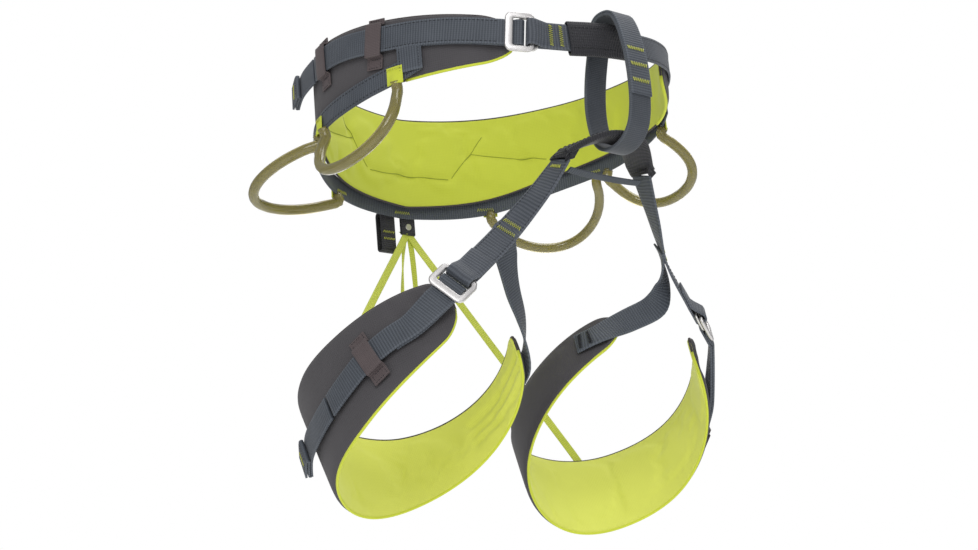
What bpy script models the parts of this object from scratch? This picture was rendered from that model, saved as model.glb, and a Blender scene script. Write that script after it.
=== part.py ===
"""Climbing sit harness: padded waist belt, two padded leg loops, a belay loop and four gear loops.

Metres, +Z up. The wearer faces -Y, with the left hand at +X. The origin is the middle of the
waist opening. Straps are sheets with a thickness, laid along a spine: a centre line that also
knows which way the strap's outer face looks.
"""

import math

import bmesh
import bpy
import numpy as np
from mathutils import Matrix

# Fits
CLEARANCE = 0.0003          # between hard pieces and the webbing round them
LAYER_GAP = 0.0008          # between sewn layers, which hug the same curve
HINGE_GAP = 0.0022          # between a strap and the piece it swings from

# Webbing
WEBBING = 0.0016            # thickness of the 20 mm webbing
STRAP_WIDTH = 0.020
SLEEVE_WALL = 0.0010
STACK = WEBBING + CLEARANCE  # from one layer of webbing to the next

# Waist belt: an egg-shaped path, deeper in front of the hips than behind them
WAIST_HALF_WIDTH = 0.145
WAIST_FRONT = 0.150
WAIST_REAR = 0.119
BELT_TILT = 0.04            # the left side of the belt sits this much higher, per metre of width
WAIST_STEP = 9.0            # degrees between the belt's stations
WAIST_PAD_RIGHT = -31.0     # where the pad ends, in degrees from the front
WAIST_PAD_LEFT = 34.0
WAIST_STATIONS = (30, 60, 90, 120, 150, 180)
WAIST_TOP = (0.008, 0.023, 0.033, 0.034, 0.030, 0.026)
WAIST_BOTTOM = (-0.023, -0.025, -0.023, -0.029, -0.045, -0.053)
LOWER_WEBBING_WIDTH = 0.016
LOWER_WEBBING_STATIONS = (58, 66, 76, 90, 120, 150, 180)
LOWER_WEBBING_EDGE = (-0.0215, -0.0275, -0.031, -0.035, -0.042, -0.057, -0.062)

# Layers of a pad
SKIN = 0.0008
FOAM = 0.0050

# Leg loops: the same pattern on both legs, each hanging as its own strap lets it
LEG_HALF_WIDTH = 0.071
LEG_HALF_DEPTH = 0.0885
LEG_FLARE = 0.7             # growth of the oval per metre up the thigh
LEG_STEP = 15.0
LEG_STATIONS = (0, 45, 90, 135, 180, 225, 270, 315)
LEG_TOP = (0.039, 0.037, 0.036, 0.043, 0.043, 0.026, 0.020, 0.027)
LEG_BOTTOM = (0.025, -0.018, -0.040, -0.043, -0.045, -0.037, -0.027, -0.008)
LEG_PAD_OUTER = 27.0        # the pad's two ends, in degrees from the front, growing outwards
LEG_PAD_INNER = 318.0
LEG_HINGE = (0.038, -0.129, -0.097)
LEG_POSES = {               # centre, lean forward, lean outward and turn of each leg's oval
    "right": (-1, (-0.107, -0.025, -0.2605), 27.5, -3.0, -10.5),
    "left": (1, (0.081, -0.021, -0.2615), 32.5, 18.0, -9.5),
}

# Slide block buckle, along its strap: a frame over a slider, both held by the fixed strap's loop
FRAME_LENGTH = 0.022
FRAME_WIDTH = 0.031
FRAME_THICKNESS = 0.0026
FRAME_FRONT_BAR = 0.006
FRAME_REAR_BAR = 0.0035
BUCKLE_WINDOW = 0.022       # opening across the strap
SLIDER_START = 0.0095
SLIDER_LENGTH = 0.016
SLIDER_WIDTH = 0.027
SLIDER_THICKNESS = 0.0016
SLIDER_BAR = 0.0035
BUCKLE_TILT = 25.0          # how far the frame lifts to let the strap slip

# Keepers and strap ends
KEEPER_WIDTH = 0.014
KEEPER_THICKNESS = 0.0010
KEEPER_FLANGE = 0.010
STOP_LENGTH = 0.021
STOP_THICKNESS = 0.0050

# Tie-in sleeves
TIE_IN_SLEEVE = (0.026, WEBBING + 0.0040)
LEG_SLEEVE = (0.022, WEBBING + 0.0028)
LEG_BRIDGE_WIDTH = 0.018
CROSS_STRAP_WIDTH = 0.011

# Belay loop
BELAY_WIDTH = 0.020
BELAY_THICKNESS = 0.0040

# Gear loops
GEAR_TUBE = 0.0085
GEAR_TUBE_WALL = 0.0010
GEAR_CORE = 0.0050
GEAR_DROP = 0.0054          # from the lower webbing's edge down to the loop's pivot
GEAR_TAB = (0.011, 0.012, 0.0026)

# Back of the belt
REAR_TAB = (0.014, 0.022, 0.0030)
REAR_TAB_X = 0.005
RIVET_RADIUS = 0.0035
RIVET_HEIGHT = 0.0016
HAUL_WIDTH = 0.014
HAUL_LENGTH = 0.034
HAUL_DEPTH = 0.0068
HAUL_X = -0.016
ELASTIC_WIDTH = 0.0065
ELASTIC_THICKNESS = 0.0014

# Where each leg's elastic is sewn, in degrees round its loop
LEG_ELASTIC = {"right": 168.0, "left": 155.0}

MM = 0.001


# Geometry

def unit(vector):
    vector = np.asarray(vector, float)
    return vector / np.linalg.norm(vector)


def catmull_rom(points, per_span):
    """Points on a smooth curve through the given ones."""
    points = np.asarray(points, float)
    padded = np.vstack([2 * points[0] - points[1], points, 2 * points[-1] - points[-2]])
    curve = []
    for before, start, end, after in zip(padded, padded[1:], padded[2:], padded[3:]):
        for t in np.linspace(0, 1, per_span, endpoint=False):
            curve.append(
                start
                + (end - before) * t / 2
                + (2 * before - 5 * start + 4 * end - after) * t**2 / 2
                + (3 * start - before - 3 * end + after) * t**3 / 2
            )
    return np.array(curve + [points[-1]])


def edge_height(stations, values, angle):
    """The height of a pad's edge at one angle, read from a smooth line through its pattern."""
    marks = np.column_stack([stations, values])
    line = catmull_rom(marks, 12)
    return float(np.interp(angle, line[:, 0], line[:, 1]))


class Oval:
    """The path of a belt or leg loop. Angles are in degrees from the front."""

    def __init__(self, centre, half_width, front, rear, axes, side=1, tilt=0.0, flare=0.0):
        self.centre = np.array(centre, float)
        self.half_width = half_width
        self.front = front
        self.rear = rear
        self.axes = axes
        self.side = side
        self.tilt = tilt
        self.flare = flare

    def normal(self, angle):
        turn = math.radians(angle)
        depth = self.front if math.cos(turn) > 0 else self.rear
        across, back, _ = self.axes
        return unit(self.side * math.sin(turn) / self.half_width * across - math.cos(turn) / depth * back)

    def at(self, angle, height, out=0.0):
        turn = math.radians(angle)
        depth = self.front if math.cos(turn) > 0 else self.rear
        grow = 1 + self.flare * height
        across, back, up = self.axes
        x = self.side * self.half_width * grow * math.sin(turn)
        place = self.centre + x * across - depth * grow * math.cos(turn) * back
        return place + (height + self.tilt * x) * up + out * self.normal(angle)


class Spine:
    """A strap's centre line through chosen points, with the direction its outer face looks."""

    def __init__(self, places, normals):
        line = catmull_rom(np.hstack([places, normals]), 16)
        self.places = line[:, :3]
        self.normals = line[:, 3:]
        steps = np.linalg.norm(np.diff(self.places, axis=0), axis=1)
        self.distance = np.concatenate([[0], np.cumsum(steps)])
        self.knots = self.distance[::16]
        self.length = self.distance[-1]

    def _read(self, table, at):
        return np.array([np.interp(at, self.distance, table[:, i]) for i in range(3)])

    def frame(self, at):
        """Place, direction along, direction across and outward normal."""
        reach = 0.0015
        low, high = max(at - reach, 0), min(at + reach, self.length)
        place = self._read(self.places, at)
        along = unit(self._read(self.places, high) - self._read(self.places, low))
        normal = self._read(self.normals, at)
        normal = unit(normal - along * np.dot(along, normal))
        return place, along, np.cross(along, normal), normal

    def lift(self, at, height, aside=0.0):
        place, _, across, normal = self.frame(at)
        return place + normal * height + across * aside


# Objects

for old in list(bpy.data.objects):
    bpy.data.objects.remove(old, do_unlink=True)

harness = bpy.data.collections.new("sit_harness")
bpy.context.scene.collection.children.link(harness)

WEBBING_GREY = (0.045, 0.058, 0.075)
SKIN_GREY = (0.085, 0.078, 0.080)
FOAM_GREY = (0.12, 0.12, 0.12)
LINING_LIME = (0.56, 0.66, 0.10)
SLEEVE_BLACK = (0.022, 0.021, 0.026)
KEEPER_BROWN = (0.11, 0.095, 0.095)
THREAD_LIME = (0.60, 0.62, 0.16)
TUBE_OLIVE = (0.30, 0.26, 0.06)
ALLOY = (0.62, 0.61, 0.60)


def finish_object(name, data, colour, roughness=0.8, metallic=0.0):
    """Links an object with its own material."""
    piece = bpy.data.objects.new(name, data)
    harness.objects.link(piece)
    finish = bpy.data.materials.new(name)
    finish.use_nodes = True
    shader = finish.node_tree.nodes["Principled BSDF"]
    shader.inputs["Base Color"].default_value = (*colour, 1)
    shader.inputs["Roughness"].default_value = roughness
    shader.inputs["Metallic"].default_value = metallic
    data.materials.append(finish)
    return piece


def set_origin(piece, origin):
    """Moves a piece's origin to a point on its joint, leaving the piece where it is."""
    piece.location = origin
    piece.data.transform(Matrix.Translation(-piece.location))


def thicken(piece, thickness):
    solidify = piece.modifiers.new("thickness", "SOLIDIFY")
    solidify.thickness = thickness
    solidify.offset = 0
    solidify.use_even_offset = True


def sheet(name, rows, thickness, colour):
    """A sheet through rows of places, each row running along the piece."""
    rows = np.asarray(rows)
    mesh = bmesh.new()
    grid = bmesh.ops.create_grid(mesh, x_segments=rows.shape[1] - 1, y_segments=rows.shape[0] - 1, size=1)
    corners = sorted(grid["verts"], key=lambda v: (round(v.co.y, 5), round(v.co.x, 5)))
    for corner, place in zip(corners, rows.reshape(-1, 3)):
        corner.co = place
    data = bpy.data.meshes.new(name)
    mesh.to_mesh(data)
    mesh.free()
    piece = finish_object(name, data, colour)
    thicken(piece, thickness)
    return piece


def strap(name, spine, stations, width=STRAP_WIDTH, thickness=WEBBING, colour=WEBBING_GREY):
    """Webbing along a spine, through (distance, height above the spine) stations."""
    edges = [[spine.lift(at, height, side * width / 2) for at, height in stations] for side in (-1, 1)]
    return sheet(name, edges, thickness, colour)


def run(start, end, height, step=0.012):
    """Stations of a stretch of strap that keeps one height above its spine."""
    count = max(1, round(abs(end - start) / step))
    return [(at, height) for at in np.linspace(start, end, count + 1)]


def band(name, oval, angles, low, high, out, thickness, colour, rows=2):
    """Cloth on an oval, between two lists of heights."""
    places = []
    for share in np.linspace(0, 1, rows + 1):
        places.append([oval.at(a, lo + share * (hi - lo), out) for a, lo, hi in zip(angles, low, high)])
    return sheet(name, places, thickness, colour)


def pad(name, oval, angles, low, high):
    """A pad's three layers: outer cloth, foam and lining. The outer cloth's face is on the oval."""
    foam_out = -SKIN - CLEARANCE - FOAM / 2
    lining_out = -SKIN - 2 * CLEARANCE - FOAM - SKIN / 2
    band(f"{name}_shell", oval, angles, low, high, -SKIN / 2, SKIN, SKIN_GREY)
    band(f"{name}_foam", oval, angles, low, high, foam_out, FOAM, FOAM_GREY)
    band(f"{name}_lining", oval, angles, low, high, lining_out, SKIN, LINING_LIME)


def rounded_end(share):
    """How much of its height a pad keeps near its end, for a tongue-shaped outline."""
    return math.sqrt(1 - (1 - min(share, 1)) ** 2) * 0.72 + 0.28


def pad_edges(angles, stations, bottom, top, round_off, symmetric=False):
    """The heights of a pad's two edges at each angle, with rounded ends."""
    low, high = [], []
    for angle in angles:
        folded = min(angle % 360, 360 - angle % 360) if symmetric else angle
        bottom_here = edge_height(stations, bottom, folded)
        top_here = edge_height(stations, top, folded)
        middle = (bottom_here + top_here) / 2
        keep = rounded_end(min(angle - angles[0], angles[-1] - angle) / round_off)
        low.append(middle + (bottom_here - middle) * keep)
        high.append(middle + (top_here - middle) * keep)
    return low, high


def pad_angles(start, end, step, round_off):
    """Angles of a pad's stations, closer together where its ends are rounded."""
    first = math.ceil((start + round_off) / step) * step
    inner = np.arange(first, end - round_off + 0.01, step)
    return [start, start + round_off / 2, *inner, end - round_off / 2, end]


def outline(curve, corners, radius, arc=3):
    """Adds a closed outline with rounded corners to a 2D curve."""
    points = []
    count = len(corners)
    for i, corner in enumerate(corners):
        corner = np.array(corner)
        back = unit(np.array(corners[i - 1]) - corner)
        ahead = unit(np.array(corners[(i + 1) % count]) - corner)
        centre = corner + (back + ahead) * radius
        for share in np.linspace(0, 1, arc + 1):
            points.append(centre - unit(ahead * (1 - share) + back * share) * radius)
    spline = curve.splines.new("POLY")
    spline.points.add(len(points) - 1)
    for point, place in zip(spline.points, points):
        point.co = (*place, 0, 1)
    spline.use_cyclic_u = True


def rectangle(low_x, high_x, width):
    return [(low_x, -width / 2), (high_x, -width / 2), (high_x, width / 2), (low_x, width / 2)]


def plate(name, spine, buckle_at, length, width, bars, thickness, start, height, origin_x):
    """A forged buckle plate with one window, lying flat above its strap."""
    data = bpy.data.curves.new(name, "CURVE")
    data.dimensions = "2D"
    data.fill_mode = "BOTH"
    data.extrude = thickness / 2
    outline(data, rectangle(-origin_x, length - origin_x, width), 0.0045)
    outline(data, rectangle(bars[0] - origin_x, length - bars[1] - origin_x, BUCKLE_WINDOW), 0.0012, 1)
    piece = finish_object(name, data, ALLOY, 0.38, 1.0)
    place, along, across, normal = spine.frame(buckle_at + FRAME_LENGTH / 2)
    place = place + along * (start + origin_x - FRAME_LENGTH / 2) + normal * (height + thickness / 2)
    turn = Matrix([[*along, 0], [*across, 0], [*normal, 0], [0, 0, 0, 1]]).transposed()
    turn.translation = place
    piece.matrix_world = turn
    return piece


def buckle_heights():
    """Heights above the load layer: slider, wrap over its bar, frame, and the loop that holds both."""
    slider = WEBBING / 2 + CLEARANCE
    wrap = slider + SLIDER_THICKNESS + CLEARANCE + WEBBING / 2
    frame = WEBBING * 1.5 + 2 * CLEARANCE
    tilt = math.radians(BUCKLE_TILT)
    lifted = FRAME_REAR_BAR * math.sin(tilt) + FRAME_THICKNESS * math.cos(tilt)
    loop = frame + lifted + CLEARANCE + WEBBING / 2
    return slider, wrap, frame, loop


def buckle(name, spine, at):
    """The frame and slider of one slide block buckle, whose front edge is at a distance on the spine."""
    slider_height, _, frame_height, _ = buckle_heights()
    plate(f"{name}_slider", spine, at, SLIDER_LENGTH, SLIDER_WIDTH, (SLIDER_BAR, SLIDER_BAR),
          SLIDER_THICKNESS, SLIDER_START, slider_height, 0)
    plate(f"{name}_frame", spine, at, FRAME_LENGTH, FRAME_WIDTH, (FRAME_FRONT_BAR, FRAME_REAR_BAR),
          FRAME_THICKNESS, 0, frame_height, FRAME_LENGTH)


def adjuster_stations(buckle_at, anchor, tail_end):
    """Webbing from its anchor to the buckle, round the slider's front bar and back as the tail."""
    _, wrap, _, _ = buckle_heights()
    bar_start = buckle_at + SLIDER_START
    turn = bar_start + SLIDER_BAR + CLEARANCE + WEBBING / 2
    corner = WEBBING / 2
    stations = run(anchor, buckle_at, 0)
    stations += [(buckle_at + SLIDER_START / 2, 0), (turn - corner, 0), (turn, corner)]
    stations += [(turn, wrap - corner), (turn - corner, wrap), (bar_start, wrap)]
    stations += [(buckle_at + FRAME_FRONT_BAR + WEBBING / 2, STACK)]
    return stations + run(buckle_at, tail_end, STACK)


def fixed_stations(buckle_at, end):
    """Webbing from its anchor to the buckle, and its end sewn back over it as the loop round both bars."""
    _, _, _, loop = buckle_heights()
    bar = buckle_at + FRAME_LENGTH - FRAME_REAR_BAR
    turn = bar - CLEARANCE - WEBBING
    slider_end = buckle_at + SLIDER_START + SLIDER_LENGTH
    corner = WEBBING / 2
    stations = run(end, slider_end + 0.006, 0)
    stations += [(slider_end - SLIDER_BAR, 0), (turn + corner, 0), (turn, corner), (turn, loop - corner)]
    stations += [(turn + corner, loop), (bar + FRAME_REAR_BAR, loop)]
    return stations + [(slider_end + 0.006, STACK), (slider_end + 0.022, STACK)]


def keeper(name, spine, at, layers, base):
    """A band sewn down on both sides of the strap and passing over its layers."""
    place, along, across, normal = spine.frame(at)
    side = STRAP_WIDTH / 2 + CLEARANCE * 4 + KEEPER_THICKNESS
    top = (layers - 0.5) * WEBBING + layers * CLEARANCE + KEEPER_THICKNESS / 2 + CLEARANCE
    section = [(-side - KEEPER_FLANGE, base), (-side, base), (-side, top)]
    section += [(side, top), (side, base), (side + KEEPER_FLANGE, base)]
    edges = []
    for end in (-1, 1):
        edges.append([place + across * w + normal * n + along * end * KEEPER_WIDTH / 2 for w, n in section])
    return sheet(name, edges, KEEPER_THICKNESS, KEEPER_BROWN)


def sleeve(name, spine, start, end, size, colour):
    """A flat woven tube round a strap, open at both ends."""
    width, depth = size
    half, thin = width / 2, depth / 2
    section = [(-half, 0), (-half + thin, thin), (half - thin, thin), (half, 0)]
    section += [(half - thin, -thin), (-half + thin, -thin)]
    mesh = bmesh.new()
    rings = []
    for at, _ in run(start, end, 0, 0.010):
        ring = [mesh.verts.new(spine.lift(at, n, w)) for w, n in section]
        rings.append([mesh.edges.new((a, b)) for a, b in zip(ring, ring[1:] + ring[:1])])
    for first, second in zip(rings, rings[1:]):
        bmesh.ops.bridge_loops(mesh, edges=first + second)
    bmesh.ops.recalc_face_normals(mesh, faces=mesh.faces)
    data = bpy.data.meshes.new(name)
    mesh.to_mesh(data)
    mesh.free()
    piece = finish_object(name, data, colour)
    thicken(piece, SLEEVE_WALL)
    return piece


def tube(name, points, diameter, colour, sides=1, roughness=0.5):
    """A round piece along a list of places."""
    data = bpy.data.curves.new(name, "CURVE")
    data.dimensions = "3D"
    data.bevel_depth = diameter / 2
    data.bevel_resolution = sides
    data.use_fill_caps = True
    spline = data.splines.new("POLY")
    spline.points.add(len(points) - 1)
    for point, place in zip(spline.points, points):
        point.co = (*place, 1)
    return finish_object(name, data, colour, roughness)


def face_box(name, spine, at, size, height, colour):
    """A block on a strap: length along it, width across it and thickness."""
    place, along, across, normal = spine.frame(at)
    mesh = bmesh.new()
    bmesh.ops.create_cube(mesh, size=1, matrix=Matrix.Diagonal((*size, 1)))
    bmesh.ops.bevel(mesh, geom=mesh.edges[:], offset=size[2] * 0.3, segments=1, affect="EDGES", profile=0.5)
    data = bpy.data.meshes.new(name)
    mesh.to_mesh(data)
    mesh.free()
    piece = finish_object(name, data, colour)
    turn = Matrix([[*along, 0], [*across, 0], [*normal, 0], [0, 0, 0, 1]]).transposed()
    turn.translation = place + normal * height
    piece.matrix_world = turn
    return piece


# Waist belt

world_axes = (np.array([1.0, 0, 0]), np.array([0, 1.0, 0]), np.array([0, 0, 1.0]))
waist = Oval((0, 0, 0), WAIST_HALF_WIDTH, WAIST_FRONT, WAIST_REAR, world_axes, tilt=BELT_TILT)
SPINE_OUT = LAYER_GAP + WEBBING / 2

waist_angles = pad_angles(WAIST_PAD_LEFT, 360 + WAIST_PAD_RIGHT, WAIST_STEP, 10)
waist_low, waist_high = pad_edges(waist_angles, WAIST_STATIONS, WAIST_BOTTOM, WAIST_TOP, 10, symmetric=True)
pad("waist_pad", waist, waist_angles, waist_low, waist_high)



def lower_webbing_edge(angle):
    return edge_height(LOWER_WEBBING_STATIONS, LOWER_WEBBING_EDGE, min(angle, 360 - angle))


webbing_end = LOWER_WEBBING_STATIONS[0]
webbing_angles = np.linspace(webbing_end, 360 - webbing_end, 27)
webbing_low = [lower_webbing_edge(angle) for angle in webbing_angles]
webbing_high = [low + LOWER_WEBBING_WIDTH for low in webbing_low]
band("waist_lower_webbing", waist, webbing_angles, webbing_low, webbing_high, SPINE_OUT, WEBBING,
     WEBBING_GREY, rows=1)

# The waist strap's centre line, from the tail's end on the right hip round the front to the left hip
WAIST_STRAP_LINE = (
    (-124, 0.010, 0.010), (-115, 0.014, 0.005), (-104, 0.016, 0), (-93, 0.017, 0), (-83, 0.0155, 0),
    (-72, 0.011, 0), (-60, 0.007, 0), (-50, 0.003, 0.0005), (-42, -0.001, 0.001), (-35.5, -0.004, 0.001),
    (-22.0, -0.009, 0.001), (-15, -0.0095, 0), (-6, -0.0085, 0), (4, -0.007, 0), (14, -0.005, 0),
    (25, -0.001, 0), (38, 0.004, 0), (50, 0.006, 0), (62, 0.008, 0),
)
BUCKLE_KNOT = 9
places = [waist.at(a, h, SPINE_OUT + out) for a, h, out in WAIST_STRAP_LINE]
normals = [waist.normal(a) for a, _, _ in WAIST_STRAP_LINE]
# Straight through the buckle, which is rigid
start, end = places[BUCKLE_KNOT], places[BUCKLE_KNOT + 1]
forward = unit(end - start)
facing = unit(normals[BUCKLE_KNOT] + normals[BUCKLE_KNOT + 1])
places[BUCKLE_KNOT:BUCKLE_KNOT + 2] = [start, start + forward * 0.006, end - forward * 0.006, end]
normals[BUCKLE_KNOT:BUCKLE_KNOT + 2] = [facing] * 4
waist_spine = Spine(places, normals)
waist_buckle_at = waist_spine.knots[BUCKLE_KNOT + 1] - 0.002
TAIL_HINGE_KNOT = 2
tail_hinge_at = waist_spine.knots[TAIL_HINGE_KNOT]
side_keeper_at = waist_spine.knots[3] - 0.006
front_keeper_at = waist_spine.knots[5]
sleeve_start = waist_buckle_at + 0.049
sleeve_end = sleeve_start + 0.072

strap("waist_adjuster_strap", waist_spine,
      adjuster_stations(waist_buckle_at, waist_spine.knots[6], tail_hinge_at + HINGE_GAP))
strap("waist_front_strap", waist_spine, fixed_stations(waist_buckle_at, waist_spine.length))
buckle("waist_buckle", waist_spine, waist_buckle_at)
keeper("waist_keeper_front", waist_spine, front_keeper_at, 2, 0)
keeper("waist_keeper_side", waist_spine, side_keeper_at, 2, 0)
sleeve("tie_in_sleeve", waist_spine, sleeve_start, sleeve_end, TIE_IN_SLEEVE, SLEEVE_BLACK)


def tail_end(name, spine, hinge_at):
    """A strap's loose end past its last keeper, and the folded stop sewn on it."""
    tail = strap(name, spine, run(STOP_LENGTH * 0.4, hinge_at, STACK, 0.010))
    set_origin(tail, spine.lift(hinge_at, STACK))
    face_box(f"{name}_stop", spine, STOP_LENGTH / 2, (STOP_LENGTH, STRAP_WIDTH + 0.002, STOP_THICKNESS),
             STACK + WEBBING / 2 + CLEARANCE + STOP_THICKNESS / 2, WEBBING_GREY)


tail_end("waist_tail_end", waist_spine, tail_hinge_at)

# Belay loop: a closed band in the harness's middle plane, listed as (y, z) from its top

BELAY_LINE = (
    (-0.1560, 0.0112), (-0.1650, 0.0065), (-0.1710, -0.008), (-0.1750, -0.030), (-0.1760, -0.052),
    (-0.1745, -0.069), (-0.1700, -0.082), (-0.1610, -0.0905), (-0.1500, -0.0935), (-0.1390, -0.0915),
    (-0.1315, -0.0835), (-0.1275, -0.070), (-0.1265, -0.052), (-0.1300, -0.030), (-0.1375, -0.006),
    (-0.1450, 0.0090),
)
loop_mesh = bmesh.new()
circle = bmesh.ops.create_circle(loop_mesh, segments=len(BELAY_LINE), radius=1)
for vertex, (y, z) in zip(circle["verts"], BELAY_LINE):
    vertex.co = (-BELAY_WIDTH / 2, y, z)
wall = bmesh.ops.extrude_edge_only(loop_mesh, edges=loop_mesh.edges[:])
for vertex in (item for item in wall["geom"] if isinstance(item, bmesh.types.BMVert)):
    vertex.co.x = BELAY_WIDTH / 2
bmesh.ops.recalc_face_normals(loop_mesh, faces=loop_mesh.faces)
loop_data = bpy.data.meshes.new("belay_loop")
loop_mesh.to_mesh(loop_data)
loop_mesh.free()
belay_loop = finish_object("belay_loop", loop_data, WEBBING_GREY)
thicken(belay_loop, BELAY_THICKNESS)
set_origin(belay_loop, (0, -0.152, 0))

# Leg tie-in: the webbing that carries both legs, its sleeve, and the strap that ties the legs together

BRIDGE_HALF = (
    ((0, -150.5, -84.5), (0, 0, 1)), ((16, -146, -85), (-0.28, 0, 0.96)), ((36, -130, -93), (-0.64, 0, 0.75)),
)
bridge_places = []
bridge_normals = []
for side in (-1, 1):
    ends = BRIDGE_HALF[::-1] if side < 0 else BRIDGE_HALF[1:]
    for (x, y, z), (nx, ny, nz) in ends:
        bridge_places.append((side * x * MM, y * MM, z * MM))
        bridge_normals.append((-side * nx, ny, nz))
bridge_spine = Spine(bridge_places, bridge_normals)
strap("leg_bridge_strap", bridge_spine, run(0.001, bridge_spine.length - 0.001, 0, 0.010), LEG_BRIDGE_WIDTH)
sleeve("leg_bridge_sleeve", bridge_spine, 0, bridge_spine.length, LEG_SLEEVE, SLEEVE_BLACK)

CROSS_STRAP_HALF = 0.035
CROSS_STRAP_PLACE = (-0.129, -0.107)
cross_edges = []
for side in (-1, 1):
    tilt = np.array([0, -0.92, 0.39]) * side * CROSS_STRAP_WIDTH / 2
    cross_edges.append([(x, CROSS_STRAP_PLACE[0] + tilt[1], CROSS_STRAP_PLACE[1] + tilt[2])
                        for x in np.linspace(-CROSS_STRAP_HALF, CROSS_STRAP_HALF, 5)])
sheet("leg_cross_strap", cross_edges, WEBBING, WEBBING_GREY)

# Leg loops


def leg_axes(side, lean, outward, turn):
    """Across, back and up directions of a leg's oval."""
    lean, outward, turn = (math.radians(angle) for angle in (lean, outward, turn * side))
    up = np.array([side * math.sin(outward), math.sin(lean) * math.cos(outward), math.cos(lean) * math.cos(outward)])
    across = unit(np.cross([0, 1, 0], up))
    back = np.cross(up, across)
    return (across * math.cos(turn) + back * math.sin(turn), back * math.cos(turn) - across * math.sin(turn), up)


# Each leg's strap from its loose end up over the pad, as (angle, height, out), and on from the buckle
# to the leg tie-in, as place and normal in mm
LEG_STRAP_ON_PAD = (
    (153, -0.007, 0.006), (138, -0.006, 0.002), (122, -0.009, 0), (106, -0.010, 0), (90, -0.007, 0),
    (76, -0.002, 0), (63, 0.001, 0.0005), (51, 0.004, 0.0008),
)
LEG_STRAP_TO_TIE_IN = {
    "right": (
        ((-137, -92, -208), (-0.52, -0.80, 0.22)), ((-107, -98, -181), (-0.52, -0.80, 0.22)),
        ((-79, -101, -155), (-0.59, -0.70, 0.26)), ((-57, -117, -126), (-0.66, -0.40, 0.60)),
        ((-39.5, -127.5, -99.5), (-0.64, -0.05, 0.75)),
    ),
    "left": (
        ((130, -91, -213.5), (0.62, -0.75, 0.18)), ((103, -97, -183), (0.62, -0.75, 0.18)),
        ((79, -103, -155), (0.60, -0.70, 0.26)), ((57, -117, -126), (0.66, -0.40, 0.60)),
        ((39.5, -127.5, -99.5), (0.64, -0.05, 0.75)),
    ),
}
# The inner strap, from under the fork down to the pad's inner end, as place and normal in mm
LEG_INNER_STRAP = {
    "right": (((-76, -97, -152), (-0.55, -0.72, 0.28)), ((-69, -91, -168), (-0.2, -0.93, 0.1)),
              ((-56, -79, -187), (0.25, -0.95, 0.0)), ((-46, -74, -208), (0.55, -0.83, 0.0))),
    "left": (((76, -99, -153), (0.55, -0.72, 0.28)), ((84.5, -92, -170), (0.2, -0.95, 0.1)),
             ((80, -86, -186), (-0.1, -0.95, 0.25)), ((60, -76, -197), (-0.4, -0.85, 0.3))),
}
leg_spines = {}
for name, (side, centre, lean, outward, turn) in LEG_POSES.items():
    oval = Oval(centre, LEG_HALF_WIDTH, LEG_HALF_DEPTH, LEG_HALF_DEPTH,
                leg_axes(side, lean, outward, turn), side=side, flare=LEG_FLARE)
    stations = (*LEG_STATIONS, 360)
    angles = pad_angles(LEG_PAD_OUTER, LEG_PAD_INNER, LEG_STEP, 12)
    low, high = pad_edges(angles, stations, LEG_BOTTOM + LEG_BOTTOM[:1], LEG_TOP + LEG_TOP[:1], 12)
    pad(f"leg_pad_{name}", oval, angles, low, high)

    places = [oval.at(a, h, SPINE_OUT + out) for a, h, out in LEG_STRAP_ON_PAD]
    normals = [oval.normal(a) for a, _, _ in LEG_STRAP_ON_PAD]
    knot = len(places)
    to_tie_in = LEG_STRAP_TO_TIE_IN[name]
    start, end = (np.array(to_tie_in[i][0]) * MM for i in (0, 1))
    forward = unit(end - start)
    facing = to_tie_in[0][1]
    places += [start, start + forward * 0.006, end - forward * 0.006]
    normals += [facing] * 3
    places += [np.array(place) * MM for place, _ in to_tie_in[1:]]
    normals += [normal for _, normal in to_tie_in[1:]]
    spine = Spine(places, normals)
    leg_spines[name] = spine
    buckle_at = spine.knots[knot + 1] + 0.0005
    hinge_at = spine.knots[3]

    strap(f"leg_adjuster_strap_{name}", spine, adjuster_stations(buckle_at, spine.knots[6], hinge_at + HINGE_GAP))
    strap(f"leg_riser_{name}", spine, fixed_stations(buckle_at, spine.length))
    buckle(f"leg_buckle_{name}", spine, buckle_at)
    keeper(f"leg_keeper_{name}", spine, spine.knots[5], 2, 0)
    tail_end(f"leg_tail_end_{name}", spine, hinge_at)

    inner = LEG_INNER_STRAP[name]
    inner_places = [np.array(place) * MM for place, _ in inner]
    inner_normals = [normal for _, normal in inner]
    for angle in (LEG_PAD_INNER - 3, LEG_PAD_INNER - 15):
        inner_places.append(oval.at(angle, 0.006, SPINE_OUT + CLEARANCE * 3))
        inner_normals.append(oval.normal(angle))
    inner_spine = Spine(inner_places, inner_normals)
    strap(f"leg_inner_strap_{name}", inner_spine, run(0, inner_spine.length, 0))

# Each leg's pieces hang from the tie-in and turn with it
for name, (side, *_) in LEG_POSES.items():
    hinge = bpy.data.objects.new(f"hinge_of_leg_{name}", None)
    harness.objects.link(hinge)
    hinge.location = (side * LEG_HINGE[0], *LEG_HINGE[1:])
    bpy.context.view_layer.update()
    for piece in list(harness.objects):
        if piece.name.startswith("leg_") and name in piece.name.split("_"):
            if piece is not hinge:
                piece.parent = hinge
                piece.matrix_parent_inverse = hinge.matrix_world.inverted()

# Gear loops: a clear tube over a cord, bent into a hoop under the belt, in each side's two places


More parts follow.
